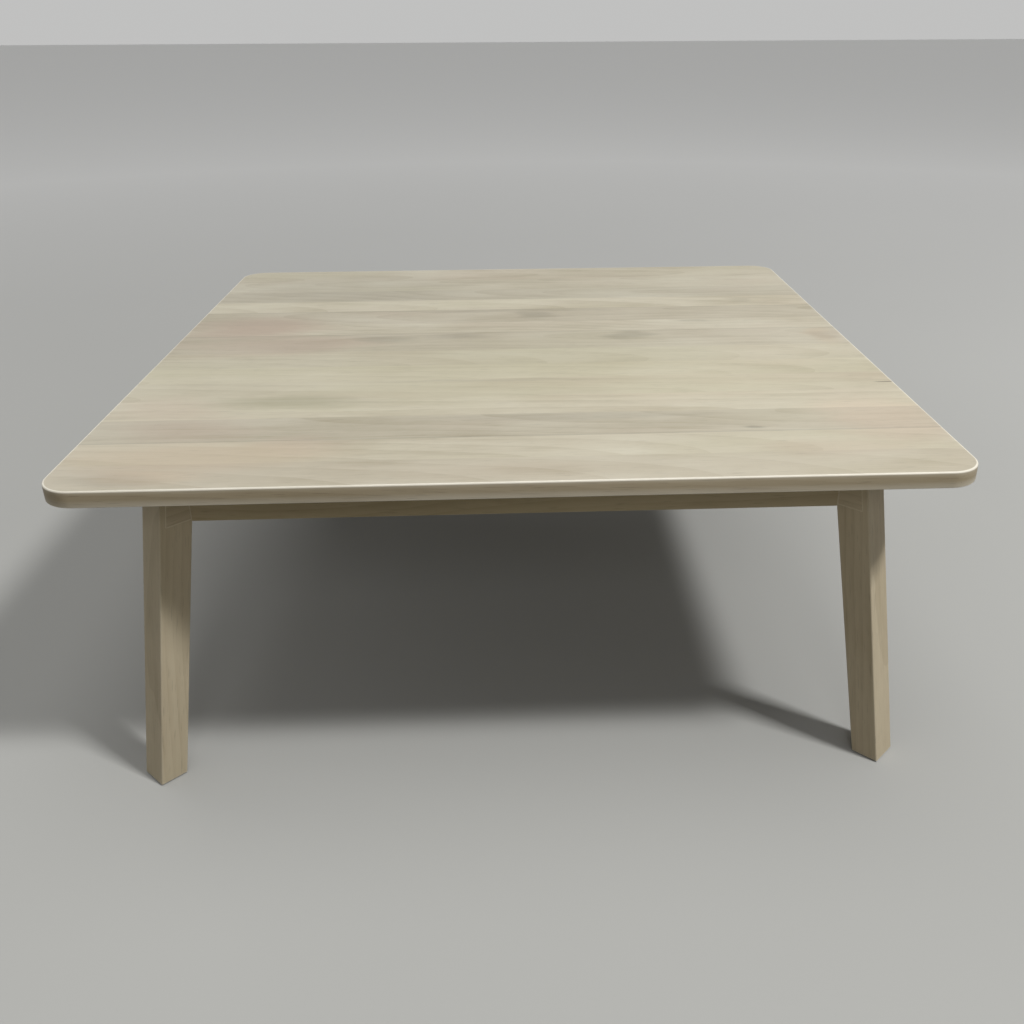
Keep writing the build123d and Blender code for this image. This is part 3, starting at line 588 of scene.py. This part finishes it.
def metal(name, bright, dull, roughness, patch_scale, tarnish=0.12):
    """Bare metal that dulls in soft patches, with fine scratches."""
    tree = material_tree(name)
    point = tree.object_point()
    patches = tree.noise(point, patch_scale, detail=4.0, roughness=0.6)
    scratches = tree.noise(point, 900.0, detail=2.0)
    shade = tree.mix(tree.span(patches, 0.35, 0.75, 0.0, tarnish * 4), bright, dull)
    rough = tree.total(roughness - 0.06, tree.swing(patches, 0.10), tree.product(scratches, 0.12))
    return tree.surface(Base_Color=shade, Metallic=1.0, Roughness=rough,
                        Normal=tree.bump(scratches, 0.12, 0.05 * MM))


def enamel(name, colour, chip, roughness, wear):
    """Baked enamel on sheet steel: a faint orange peel, and edges worn towards the metal."""
    tree = material_tree(name)
    point = tree.object_point()
    peel = tree.noise(point, 420.0, detail=1.0)
    dust = tree.noise(point, 14.0, detail=5.0, roughness=0.65)
    dusty = tuple(0.8 * channel for channel in colour)
    shade = tree.mix(tree.span(dust, 0.45, 0.8, 0.0, 0.25), colour, dusty)
    speck = tree.noise(point, 160.0, detail=3.0)
    worn = tree.product(tree.arris(ENAMEL_ARRIS), tree.span(speck, 0.5, 0.62, 0.0, wear))
    rough = tree.total(roughness, tree.swing(dust, 0.16), tree.product(worn, 0.2))
    return tree.surface(Base_Color=tree.mix(worn, shade, chip), Roughness=rough, Specular_IOR_Level=0.5,
                        Normal=tree.bump(peel, 0.08, 0.10 * MM))


def reflector():
    """Bright rolled aluminium, a little straw-coloured where the tubes have heated it."""
    tree = material_tree("reflector_aluminium")
    point = tree.object_point()
    across = tree.math("ABSOLUTE", tree.add("SeparateXYZ", {0: point}).outputs["Y"])
    from_tube = tree.math("ABSOLUTE", tree.math("SUBTRACT", across, TUBE_LINE))
    heated = tree.span(from_tube, HEATED_REACH, 0.0, 0.0, 0.55, smooth=True)
    lines = tree.noise(point, (6.0, 700.0, 700.0), detail=3.0)
    smear = tree.noise(point, (18.0, 40.0, 18.0), detail=4.0, roughness=0.6)
    shade = tree.mix(heated, (0.87, 0.87, 0.86), (0.80, 0.71, 0.52))
    rough = tree.total(0.14, tree.product(lines, 0.10), tree.product(smear, 0.16))
    return tree.surface(Base_Color=shade, Metallic=1.0, Roughness=rough,
                        Normal=tree.bump(lines, 0.10, 0.04 * MM))


def quartz():
    """Milky quartz: clear glass with a soft satin inside."""
    tree = material_tree("quartz")
    cloud = tree.noise(tree.object_point(), 60.0, detail=3.0)
    rough = tree.span(cloud, 0.3, 0.7, 0.10, 0.26)
    return tree.surface(Base_Color=(0.95, 0.955, 0.95), Roughness=rough, Transmission_Weight=0.92, IOR=1.46)


def felt():
    """Pressed fibres: a tangle of fine crossed noise with a soft sheen."""
    tree = material_tree("felt")
    point = tree.object_point()
    one = tree.noise(point, (2600.0, 420.0, 900.0), detail=2.0)
    other = tree.noise(point, (420.0, 2600.0, 900.0), detail=2.0, shift=(3.0, 1.0, 2.0))
    tangle = tree.math("MAXIMUM", one, other)
    lumps = tree.noise(point, 160.0, detail=3.0)
    shade = tree.mix(tree.span(tangle, 0.40, 0.72), (0.20, 0.17, 0.135), (0.42, 0.36, 0.29))
    shade = tree.times(shade, tree.span(lumps, 0.3, 0.7, 0.86, 1.06))
    height = tree.total(tangle, tree.product(lumps, 0.8))
    return tree.surface(Base_Color=shade, Roughness=0.95, Sheen_Weight=0.4, Sheen_Roughness=0.5,
                        Specular_IOR_Level=0.15, Normal=tree.bump(height, 0.8, 0.35 * MM))


def insulation():
    """Needled heat-proof felt, with a grid of shallow needle marks."""
    tree = material_tree("insulation")
    point = tree.object_point()
    needles = tree.add("TexVoronoi", {"Vector": point, "Scale": 260.0, "Randomness": 0.55})
    fluff = tree.noise(point, (700.0, 700.0, 300.0), detail=4.0, roughness=0.7)
    clouds = tree.noise(point, 22.0, detail=3.0)
    shade = tree.mix(tree.span(fluff, 0.3, 0.75), (0.62, 0.60, 0.54), (0.84, 0.83, 0.78))
    shade = tree.times(shade, tree.span(clouds, 0.3, 0.7, 0.90, 1.03))
    height = tree.total(tree.span(needles.outputs["Distance"], 0.0, 0.45), tree.product(fluff, 0.7))
    return tree.surface(Base_Color=shade, Roughness=0.97, Sheen_Weight=0.3, Sheen_Roughness=0.6,
                        Specular_IOR_Level=0.1, Normal=tree.bump(height, 0.7, 0.5 * MM))


def sleeve():
    """Woven glass-fibre sleeve: two sets of crossed yarns."""
    tree = material_tree("lead_sleeve")
    point = tree.object_point()
    yarns = []
    for turn in (0.7, -0.7):
        wave = {"Vector": tree.place(point, turn=(turn, turn, turn)), "Scale": 330.0, "Distortion": 0.4}
        yarns.append(tree.add("TexWave", wave).outputs["Fac"])
    weave = tree.math("MAXIMUM", *yarns)
    grime = tree.noise(point, 70.0, detail=3.0)
    shade = tree.mix(weave, (0.58, 0.55, 0.47), (0.86, 0.84, 0.78))
    shade = tree.times(shade, tree.span(grime, 0.3, 0.7, 0.85, 1.03))
    return tree.surface(Base_Color=shade, Roughness=0.8, Specular_IOR_Level=0.25,
                        Normal=tree.bump(weave, 0.7, 0.12 * MM))


def ceramic():
    """Unglazed steatite: chalky, with fine specks."""
    tree = material_tree("ceramic")
    point = tree.object_point()
    grit = tree.noise(point, 1500.0, detail=2.0)
    stain = tree.noise(point, 90.0, detail=3.0)
    shade = tree.mix(tree.span(stain, 0.5, 0.8, 0.0, 0.5), (0.84, 0.82, 0.76), (0.70, 0.64, 0.54))
    shade = tree.times(shade, tree.span(grit, 0.3, 0.7, 0.93, 1.02))
    return tree.surface(Base_Color=shade, Roughness=tree.span(grit, 0.3, 0.7, 0.62, 0.78),
                        Normal=tree.bump(grit, 0.25, 0.08 * MM))


def plastic():
    """Black moulded plastic with a fine spark-eroded grain."""
    tree = material_tree("black_plastic")
    point = tree.object_point()
    grain = tree.noise(point, 1100.0, detail=2.0)
    rub = tree.noise(point, 60.0, detail=4.0)
    shade = tree.mix(tree.span(rub, 0.5, 0.8, 0.0, 0.4), (0.030, 0.030, 0.031), (0.062, 0.061, 0.058))
    rough = tree.total(0.44, tree.swing(rub, 0.14), tree.product(grain, 0.08))
    return tree.surface(Base_Color=shade, Roughness=rough, Normal=tree.bump(grain, 0.3, 0.06 * MM))


def silicone():
    """Clear soft pads, slightly hazy."""
    tree = material_tree("clear_silicone")
    haze = tree.noise(tree.object_point(), 380.0, detail=3.0)
    return tree.surface(Base_Color=(0.93, 0.93, 0.91), Roughness=tree.span(haze, 0.3, 0.7, 0.16, 0.34),
                        Transmission_Weight=0.75, IOR=1.41, Normal=tree.bump(haze, 0.1, 0.05 * MM))


# Mesh helpers -----------------------------------------------------------------

def new_object(name, data):
    thing = bpy.data.objects.new(name, data)
    bpy.context.scene.collection.objects.link(thing)
    return thing


def new_piece(name, points, faces, material, body, flat=()):
    """A mesh object from points and faces. Faces whose numbers are in flat are shaded flat."""
    mesh = bpy.data.meshes.new(name)
    mesh.from_pydata([tuple(p) for p in points], [], faces)
    mesh.polygons.foreach_set("use_smooth", [i not in flat for i in range(len(faces))])
    mesh.materials.append(material)
    mesh.update()
    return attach(new_object(name, mesh), body)


def on_circle(radius, angle):
    return Vector((radius * math.cos(angle), radius * math.sin(angle)))


def rounded_square(side, radius, steps):
    """Points of a rounded square about the origin, counter-clockwise, the same number at any size."""
    reach = side / 2 - radius
    points = []
    for corner in range(4):
        middle = Matrix.Rotation(corner * math.pi / 2, 2) @ Vector((reach, reach))
        angles = [(corner + step / steps) * math.pi / 2 for step in range(steps + 1)]
        points += [middle + on_circle(radius, angle) for angle in angles]
    return points


def quarter(radius, steps, rising):
    """(inset, height) pairs round a quarter circle: outwards as it rises, or back in."""
    angles = [step / steps * math.pi / 2 for step in range(steps + 1)]
    if rising:
        return [(radius * (1 - math.sin(angle)), radius * (1 - math.cos(angle))) for angle in angles]
    return [(radius * (1 - math.cos(angle)), radius * math.sin(angle)) for angle in angles]


def slab_section(low, high, lower_edge, upper_edge):
    """(inset, level) pairs up a slab's side. Each edge has the radius and the steps of its rounding."""
    section = [(inset, low + rise) for inset, rise in quarter(*lower_edge, rising=True)]
    start = high - upper_edge[0]
    section += [(inset, start + rise) for inset, rise in quarter(*upper_edge, rising=False)]
    return section


def stack(loops):
    """Points and faces of a closed solid through loops that all have the same number of points."""
    count = len(loops[0])
    points = [p for loop in loops for p in loop]
    faces = [list(range(count - 1, -1, -1))]
    for level in range(len(loops) - 1):
        low = level * count
        for step in range(count):
            ahead = (step + 1) % count
            faces.append([low + step, low + ahead, low + count + ahead, low + count + step])
    faces.append([(len(loops) - 1) * count + step for step in range(count)])
    return points, faces


def stacked_piece(name, loops, material, body):
    """A closed solid through loops of points, smooth round its sides and flat at both ends."""
    points, faces = stack(loops)
    return new_piece(name, points, faces, material, body, flat=(0, len(faces) - 1))


def islands(node):
    """(lowest corner, highest corner) of each separate solid of a node, from the front to the back."""
    mesh = frame["nodes"][node].data
    parent = list(range(len(mesh.vertices)))
    places = {}

    def root(i):
        while parent[i] != i:
            parent[i] = parent[parent[i]]
            i = parent[i]
        return i

    for vertex in mesh.vertices:
        key = tuple(round(c, 6) for c in vertex.co)
        parent[root(vertex.index)] = root(places.setdefault(key, vertex.index))
    for edge in mesh.edges:
        parent[root(edge.vertices[0])] = root(edge.vertices[1])
    groups = {}
    for vertex in mesh.vertices:
        groups.setdefault(root(vertex.index), []).append(vertex.co)
    found = []
    for group in groups.values():
        lowest, highest = (Vector([pick(p[i] for p in group) for i in range(3)]) for pick in (min, max))
        found.append((lowest, highest))
    return sorted(found, key=lambda pair: (round(pair[0].y, 4), round(pair[0].x, 4)))


# Pieces built here ------------------------------------------------------------

def outward(corner):
    """The direction in plan from the table's middle to one of its corners."""
    return on_circle(1, math.radians(CORNERS[corner])).to_3d()


def leg_axis(corner):
    """The direction up a leg, and of the bolt in its head: inwards as it rises."""
    return UP * math.cos(LEG_LEAN) - outward(corner) * math.sin(LEG_LEAN)


def tabletop(material):
    """The loose board, with its arrises rounded in fine steps."""
    lower_edge = (BOARD_LOWER_ARRIS, LOWER_ARRIS_STEPS)
    upper_edge = (BOARD_UPPER_ARRIS, UPPER_ARRIS_STEPS)
    loops = []
    for inset, level in slab_section(BOARD_LOW.z, BOARD_HIGH.z, lower_edge, upper_edge):
        outline = rounded_square(BOARD_SIDE - 2 * inset, BOARD_CORNER - inset, BOARD_CORNER_STEPS)
        loops.append([Vector((p.x, p.y, level)) for p in outline])
    piece = stacked_piece("tabletop", loops, material, "tabletop")
    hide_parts("tabletop_board")


def coil_line(start, end, radius):
    """(place, radius of the wire) along one coil on the X axis: a pin, the helix and a pin."""
    reach = TUBES_HIGH.x - COIL_INSET
    pin_end = reach + 2 * COIL_PITCH
    count = round(2 * reach / COIL_PITCH) * COIL_STEPS
    helix = []
    for step in range(count + 1):
        round_axis = on_circle(radius, step / COIL_STEPS * 2 * math.pi)
        helix.append((Vector((-reach + 2 * reach * step / count, *round_axis)), WIRE_RADIUS))
    first_pin = [(Vector((x, 0, 0)), PIN_RADIUS) for x in (start, -pin_end)]
    last_pin = [(Vector((x, 0, 0)), PIN_RADIUS) for x in (pin_end, end)]
    return first_pin + helix + last_pin


def heating_coils(material):
    """Resistance wire wound into a true helix in each tube, with a straight pin at each end."""
    low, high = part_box("heating_coils")
    line = coil_line(low.x, high.x, (high.z - low.z) / 2 - WIRE_RADIUS)
    for side, name in ((-1, "coil_front"), (1, "coil_back")):
        curve = bpy.data.curves.new(name, "CURVE")
        curve.dimensions = "3D"
        curve.bevel_depth = WIRE_RADIUS
        curve.bevel_resolution = 2
        curve.use_fill_caps = True
        middle = Vector((0, side * TUBE_LINE, (low.z + high.z) / 2))
        spline = curve.splines.new("POLY")
        spline.points.add(len(line) - 1)
        for target, (place, radius) in zip(spline.points, line):
            target.co = (*(middle + place), 1.0)
            target.radius = radius / WIRE_RADIUS
        curve.materials.append(material)
        piece = new_object(name, curve)
        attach(piece, "frame")
        if side == 1:
            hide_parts("heating_coils")


def bolt_line(corner):
    """Lower end and length of the hanger bolt at one corner, measured on its solid."""
    way = outward(corner).xy
    axis = leg_axis(corner)
    vertices = frame["nodes"]["hanger_bolts"].data.vertices
    points = [v.co for v in vertices if v.co.xy.dot(way) > abs(v.co.xy.cross(way))]
    heights = [p.dot(axis) for p in points]
    flat = [p - axis * h for p, h in zip(points, heights)]
    middle = Vector([(min(p[i] for p in flat) + max(p[i] for p in flat)) / 2 for i in range(3)])
    middle -= axis * middle.dot(axis)
    return middle + axis * min(heights), max(heights) - min(heights)


def thread_reach(level, share):
    """The thread's radius at a height, at this share of a turn round the bolt."""
    phase = (level / THREAD_PITCH - share) % 1.0
    return BOLT_RADIUS - THREAD_DEPTH * abs(2 * phase - 1)


def bolt_loop(level, reach):
    """Points round the bolt at a height. Its radius is a number, or the thread's where that is None."""
    loop = []
    for step in range(THREAD_STEPS):
        share = step / THREAD_STEPS
        here = on_circle(reach or thread_reach(level, share), share * 2 * math.pi)
        loop.append(Vector((here.x, here.y, level)))
    return loop


def hanger_bolts(material):
    """Each bolt with the machine thread that its nut runs on."""
    for corner in CORNERS:
        foot, length = bolt_line(corner)
        thread_start = length - THREAD_LENGTH
        rows = int((THREAD_LENGTH - BOLT_CHAMFER) / THREAD_PITCH * THREAD_ROWS)
        section = [(0.0, BOLT_RADIUS - BOLT_CHAMFER), (BOLT_POINT, BOLT_RADIUS), (thread_start, BOLT_RADIUS)]
        section += [(thread_start + (row + 1) * THREAD_PITCH / THREAD_ROWS, None) for row in range(rows)]
        section += [(length, BOLT_RADIUS - BOLT_CHAMFER)]
        turn = UP.rotation_difference(leg_axis(corner)).to_matrix()
        loops = [[foot + turn @ p for p in bolt_loop(level, reach)] for level, reach in section]
        piece = stacked_piece("hanger_bolt_" + corner, loops, material, "frame")
        if corner == "front_left":
            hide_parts("hanger_bolts")


def soft_slab(name, low, high, width, depth, corner, azimuth, softness, material):
    """A soft pad in the box from low to high: rounded corners in plan, and soft upper and lower edges."""
    edge = (softness, SLAB_EDGE_STEPS)
    middle = (low + high) / 2
    turn = Matrix.Rotation(azimuth, 2)
    loops = []
    for inset, level in slab_section(low.z, high.z, edge, edge):
        outline = rounded_square(width - 2 * inset, corner - inset, SLAB_CORNER_STEPS)
        stretch = (depth - 2 * inset) / (width - 2 * inset)
        loop = [turn @ Vector((p.x, p.y * stretch)) + middle.xy for p in outline]
        loops.append([Vector((p.x, p.y, level)) for p in loop])
    return stacked_piece(name, loops, material, "frame")


def foot_glides(material):
    """Felt glides, a little crushed at their edges."""
    for index, (low, high) in enumerate(islands("foot_glides")):
        middle = (low + high) / 2
        azimuth = math.atan2(middle.y, middle.x)
        piece = soft_slab(f"foot_glide_{index + 1}", low, high, GLIDE_DEPTH, GLIDE_WIDTH, GLIDE_CORNER,
                          azimuth, GLIDE_SOFTNESS, material)
        if index == 0:
            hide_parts("foot_glides")


def slip_pads(material):
    """Clear pads with a soft rim, stuck on the rails."""
    for index, (low, high) in enumerate(islands("slip_pads")):
        width = high.x - low.x
        piece = soft_slab(f"slip_pad_{index + 1}", low, high, width, width, width / 2,
                          0.0, PAD_SOFTNESS, material)
        if index == 0:
            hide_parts("slip_pads")


def felt_point(u, v, upper, side, low, high):
    """A point of the felt at shares of its side from the middle, on its lower or its upper face."""
    from_rim = min(0.5 - abs(u), 0.5 - abs(v)) * side
    fray = FELT_FRAY * math.sin(37 * u + 3) * math.sin(61 * v + 1)
    x, y = (share * (side - FELT_MARGIN) + (fray if abs(share) == 0.5 else 0.0) for share in (u, v))
    if not upper:
        return Vector((x, y, low.z))
    soft = min(1.0, from_rim / FELT_SOFT_RIM)
    wave = 0.5 + 0.25 * math.sin(23 * u + 5 * v) + 0.25 * math.sin(19 * v - 9 * u + 2)
    return Vector((x, y, low.z + (high.z - low.z) * (0.45 + 0.25 * soft + 0.3 * soft * wave)))


def insulating_sheet(material):
    """A sheet of needled felt laid on the heater's lid, not quite flat and a little ragged."""
    low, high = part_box("insulating_sheet")
    side = high.x - low.x
    size = FELT_STEPS + 1
    shares = [step / FELT_STEPS - 0.5 for step in range(size)]
    points = []
    for upper in (False, True):
        points += [felt_point(u, v, upper, side, low, high) for v in shares for u in shares]
    upper_face = size * size
    faces = []
    for row in range(FELT_STEPS):
        for column in range(FELT_STEPS):
            a = row * size + column
            quad = [a, a + 1, a + size + 1, a + size]
            faces.append(quad[::-1])
            faces.append([upper_face + i for i in quad])
    ahead_by_side = (1, size, -1, -size)
    rim = [0]
    for ahead in ahead_by_side:
        rim += [rim[-1] + ahead * step for step in range(1, size)]
    for here, ahead in zip(rim, rim[1:]):
        faces.append([here, ahead, upper_face + ahead, upper_face + here])
    piece = new_piece("insulating_felt", points, faces, material, "frame")
    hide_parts("insulating_sheet")


# Stage ------------------------------------------------------------------------

def floor():
    """A plain pale floor that lets a camera below it see up through it."""
    tree = material_tree("floor")
    soft = tree.noise(tree.object_point(), 0.8, detail=2.0)
    apart = tree.add("VectorMath", {0: tree.object_point()}, operation="LENGTH").outputs["Value"]
    shade = tree.mix(tree.span(apart, FLOOR_NEAR, FLOOR_FAR), tree.mix(soft, *FLOOR_SHADES), FAR_FLOOR)
    shade = tree.mix(tree.seen(), FLOOR_BOUNCE, shade)
    diffuse = tree.add("BsdfDiffuse", {"Color": shade, "Roughness": 0.5})
    clear = tree.add("BsdfTransparent")
    below = tree.add("NewGeometry").outputs["Backfacing"]
    mixed = tree.add("MixShader", {0: below, 1: diffuse.outputs[0], 2: clear.outputs[0]})
    tree.add("OutputMaterial", {"Surface": mixed.outputs[0]})
    mesh = bpy.data.meshes.new("floor")
    corners = [(-1, -1), (1, -1), (1, 1), (-1, 1)]
    points = [(x * FLOOR_REACH, y * FLOOR_REACH, FLOOR_LEVEL) for x, y in corners]
    mesh.from_pydata(points, [], [(0, 1, 2, 3)])
    mesh.materials.append(tree.owner)
    new_object("floor", mesh)


def world():
    """Even soft light all round, and a pale background where a ray that shows it passes the floor."""
    tree = Tree(bpy.data.worlds.new("studio"))
    light = tree.add("Background", {"Color": AMBIENT})
    pale = tree.add("Background", {"Color": BACKDROP})
    both = tree.add("MixShader", {0: tree.seen(), 1: light.outputs[0], 2: pale.outputs[0]})
    tree.add("OutputWorld", {"Surface": both.outputs[0]})
    bpy.context.scene.world = tree.owner


def sun(name, towards, strength, softness):
    """A distant soft light that comes from the given direction."""
    lamp = bpy.data.lights.new(name, "SUN")
    lamp.energy = strength
    lamp.angle = math.radians(softness)
    holder = new_object(name, lamp)
    holder.rotation_euler = Vector(towards).to_track_quat("Z", "Y").to_euler()


def softbox(name, place, power, side):
    """A square soft light that looks at the table."""
    lamp = bpy.data.lights.new(name, "AREA")
    lamp.energy = power
    lamp.size = side
    holder = new_object(name, lamp)
    holder.location = place
    holder.rotation_euler = (Vector(place) - Vector(LAMPS_AIM)).to_track_quat("Z", "Y").to_euler()


def camera():
    """The view that the table is usually shown from."""
    pitch, yaw, roll = CAMERA_PITCH, CAMERA_YAW, CAMERA_ROLL
    forward = Vector((math.sin(yaw) * math.cos(pitch), math.cos(yaw) * math.cos(pitch), -math.sin(pitch)))
    level = Vector((math.cos(yaw), -math.sin(yaw), 0))
    upright = level.cross(forward)
    right = math.cos(roll) * level + math.sin(roll) * upright
    up = math.cos(roll) * upright - math.sin(roll) * level
    data = bpy.data.cameras.new("camera")
    data.sensor_width = SENSOR_WIDTH
    data.lens = SENSOR_WIDTH * FOCAL_PIXELS / FRAME_PIXELS
    data.shift_x = (FRAME_PIXELS / 2 - MIDDLE_COLUMN) / FRAME_PIXELS
    data.shift_y = (MIDDLE_ROW - FRAME_PIXELS / 2) / FRAME_PIXELS
    data.clip_start = 0.01
    data.clip_end = 200.0
    holder = new_object("camera", data)
    rows = [(right[i], up[i], -forward[i], CAMERA_PLACE[i]) for i in range(3)]
    holder.matrix_world = Matrix((*rows, (0, 0, 0, 1)))
    bpy.context.scene.camera = holder


# Making the scene -------------------------------------------------------------

def paint(node, material):
    slots = frame["nodes"][node].data.materials
    slots.clear()
    slots.append(material)


def paint_wooden_nodes():
    """Each rail, bar, leg and block has a figure of its own, with its grain along its length."""
    along_x, along_y = (1, 0, 0), (0, 1, 0)
    bars = (("front_rail", along_x), ("back_rail", along_x), ("left_rail", along_y), ("right_rail", along_y),
            ("crossbar_left", along_y), ("crossbar_right", along_y),
            ("bar_spacer_front", along_x), ("bar_spacer_back", along_x))
    # The rails and bars take the painted shade tint.
    for place, (node, direction) in enumerate(bars):
        shift = (place * 1.7, place * 0.9, place * 0.4)
        paint(node, wood("wood_" + node, direction, shift, RAIL_SHADE_TINT, RAIL_WEAR_AND_HIGHLIGHT))
    for corner, degrees in CORNERS.items():
        own = degrees / 90
        leg_shift = (own, own * 0.7, own * 1.3)
        block_shift = (own * 2, own, own)
        paint("leg_" + corner, wood("wood_leg_" + corner, leg_axis(corner), leg_shift, LEG_TINT, LEG_WEAR_AND_HIGHLIGHT))
        paint("corner_block_" + corner,
              wood("wood_block_" + corner, outward(corner), block_shift, LEG_TINT, BLOCK_WEAR_AND_HIGHLIGHT))


def paint_other_nodes(steel):
    """The nodes that take their finish from their material slot alone."""
    finishes = {
        "dowel_wood": wood("dowel_wood", (1, 0, 0), (9, 9, 9), RAIL_SHADE_TINT, DOWEL_WEAR_AND_HIGHLIGHT),
        "zinc_steel": steel,
        "brass": metal("brass", BRASS, DULL_BRASS, roughness=0.26, patch_scale=120.0, tarnish=0.16),
        "case_enamel": enamel("case_enamel", PALE_ENAMEL, PALE_ENAMEL_CHIP, roughness=0.34, wear=0.35),
        "guard_enamel": enamel("guard_enamel", DARK_ENAMEL, DARK_ENAMEL_CHIP, roughness=0.38, wear=0.5),
        "reflector_aluminium": reflector(),
        "quartz": quartz(),
        "ceramic": ceramic(),
        "black_plastic": plastic(),
        "lead_sleeve": sleeve(),
    }
    for part in frame["record"]["subparts"]:
        if part["material_slot"] in finishes:
            paint(part["node"], finishes[part["material_slot"]])


zinc_steel = metal("zinc_steel", STEEL, DULL_STEEL, roughness=0.32, patch_scale=90.0)
paint_wooden_nodes()
paint_other_nodes(zinc_steel)

tabletop(board_wood())
heating_coils(metal("heating_alloy", HEATING_WIRE, BURNT_WIRE, roughness=0.52, patch_scale=300.0))
hanger_bolts(zinc_steel)
foot_glides(felt())
slip_pads(silicone())
insulating_sheet(insulation())

floor()
world()
sun("overhead", towards=(0.0, 0.05, 1.0), strength=0.94, softness=50)
softbox("key", place=(1.90, -1.42, 3.15), power=88.0, side=0.45)
softbox("front", place=(0.0, -2.5, 1.7), power=4.2, side=0.5)
sun("back_fill", towards=(-0.60, 0.60, 0.55), strength=0.40, softness=40)
camera()
bpy.context.scene.view_settings.view_transform = "Standard"
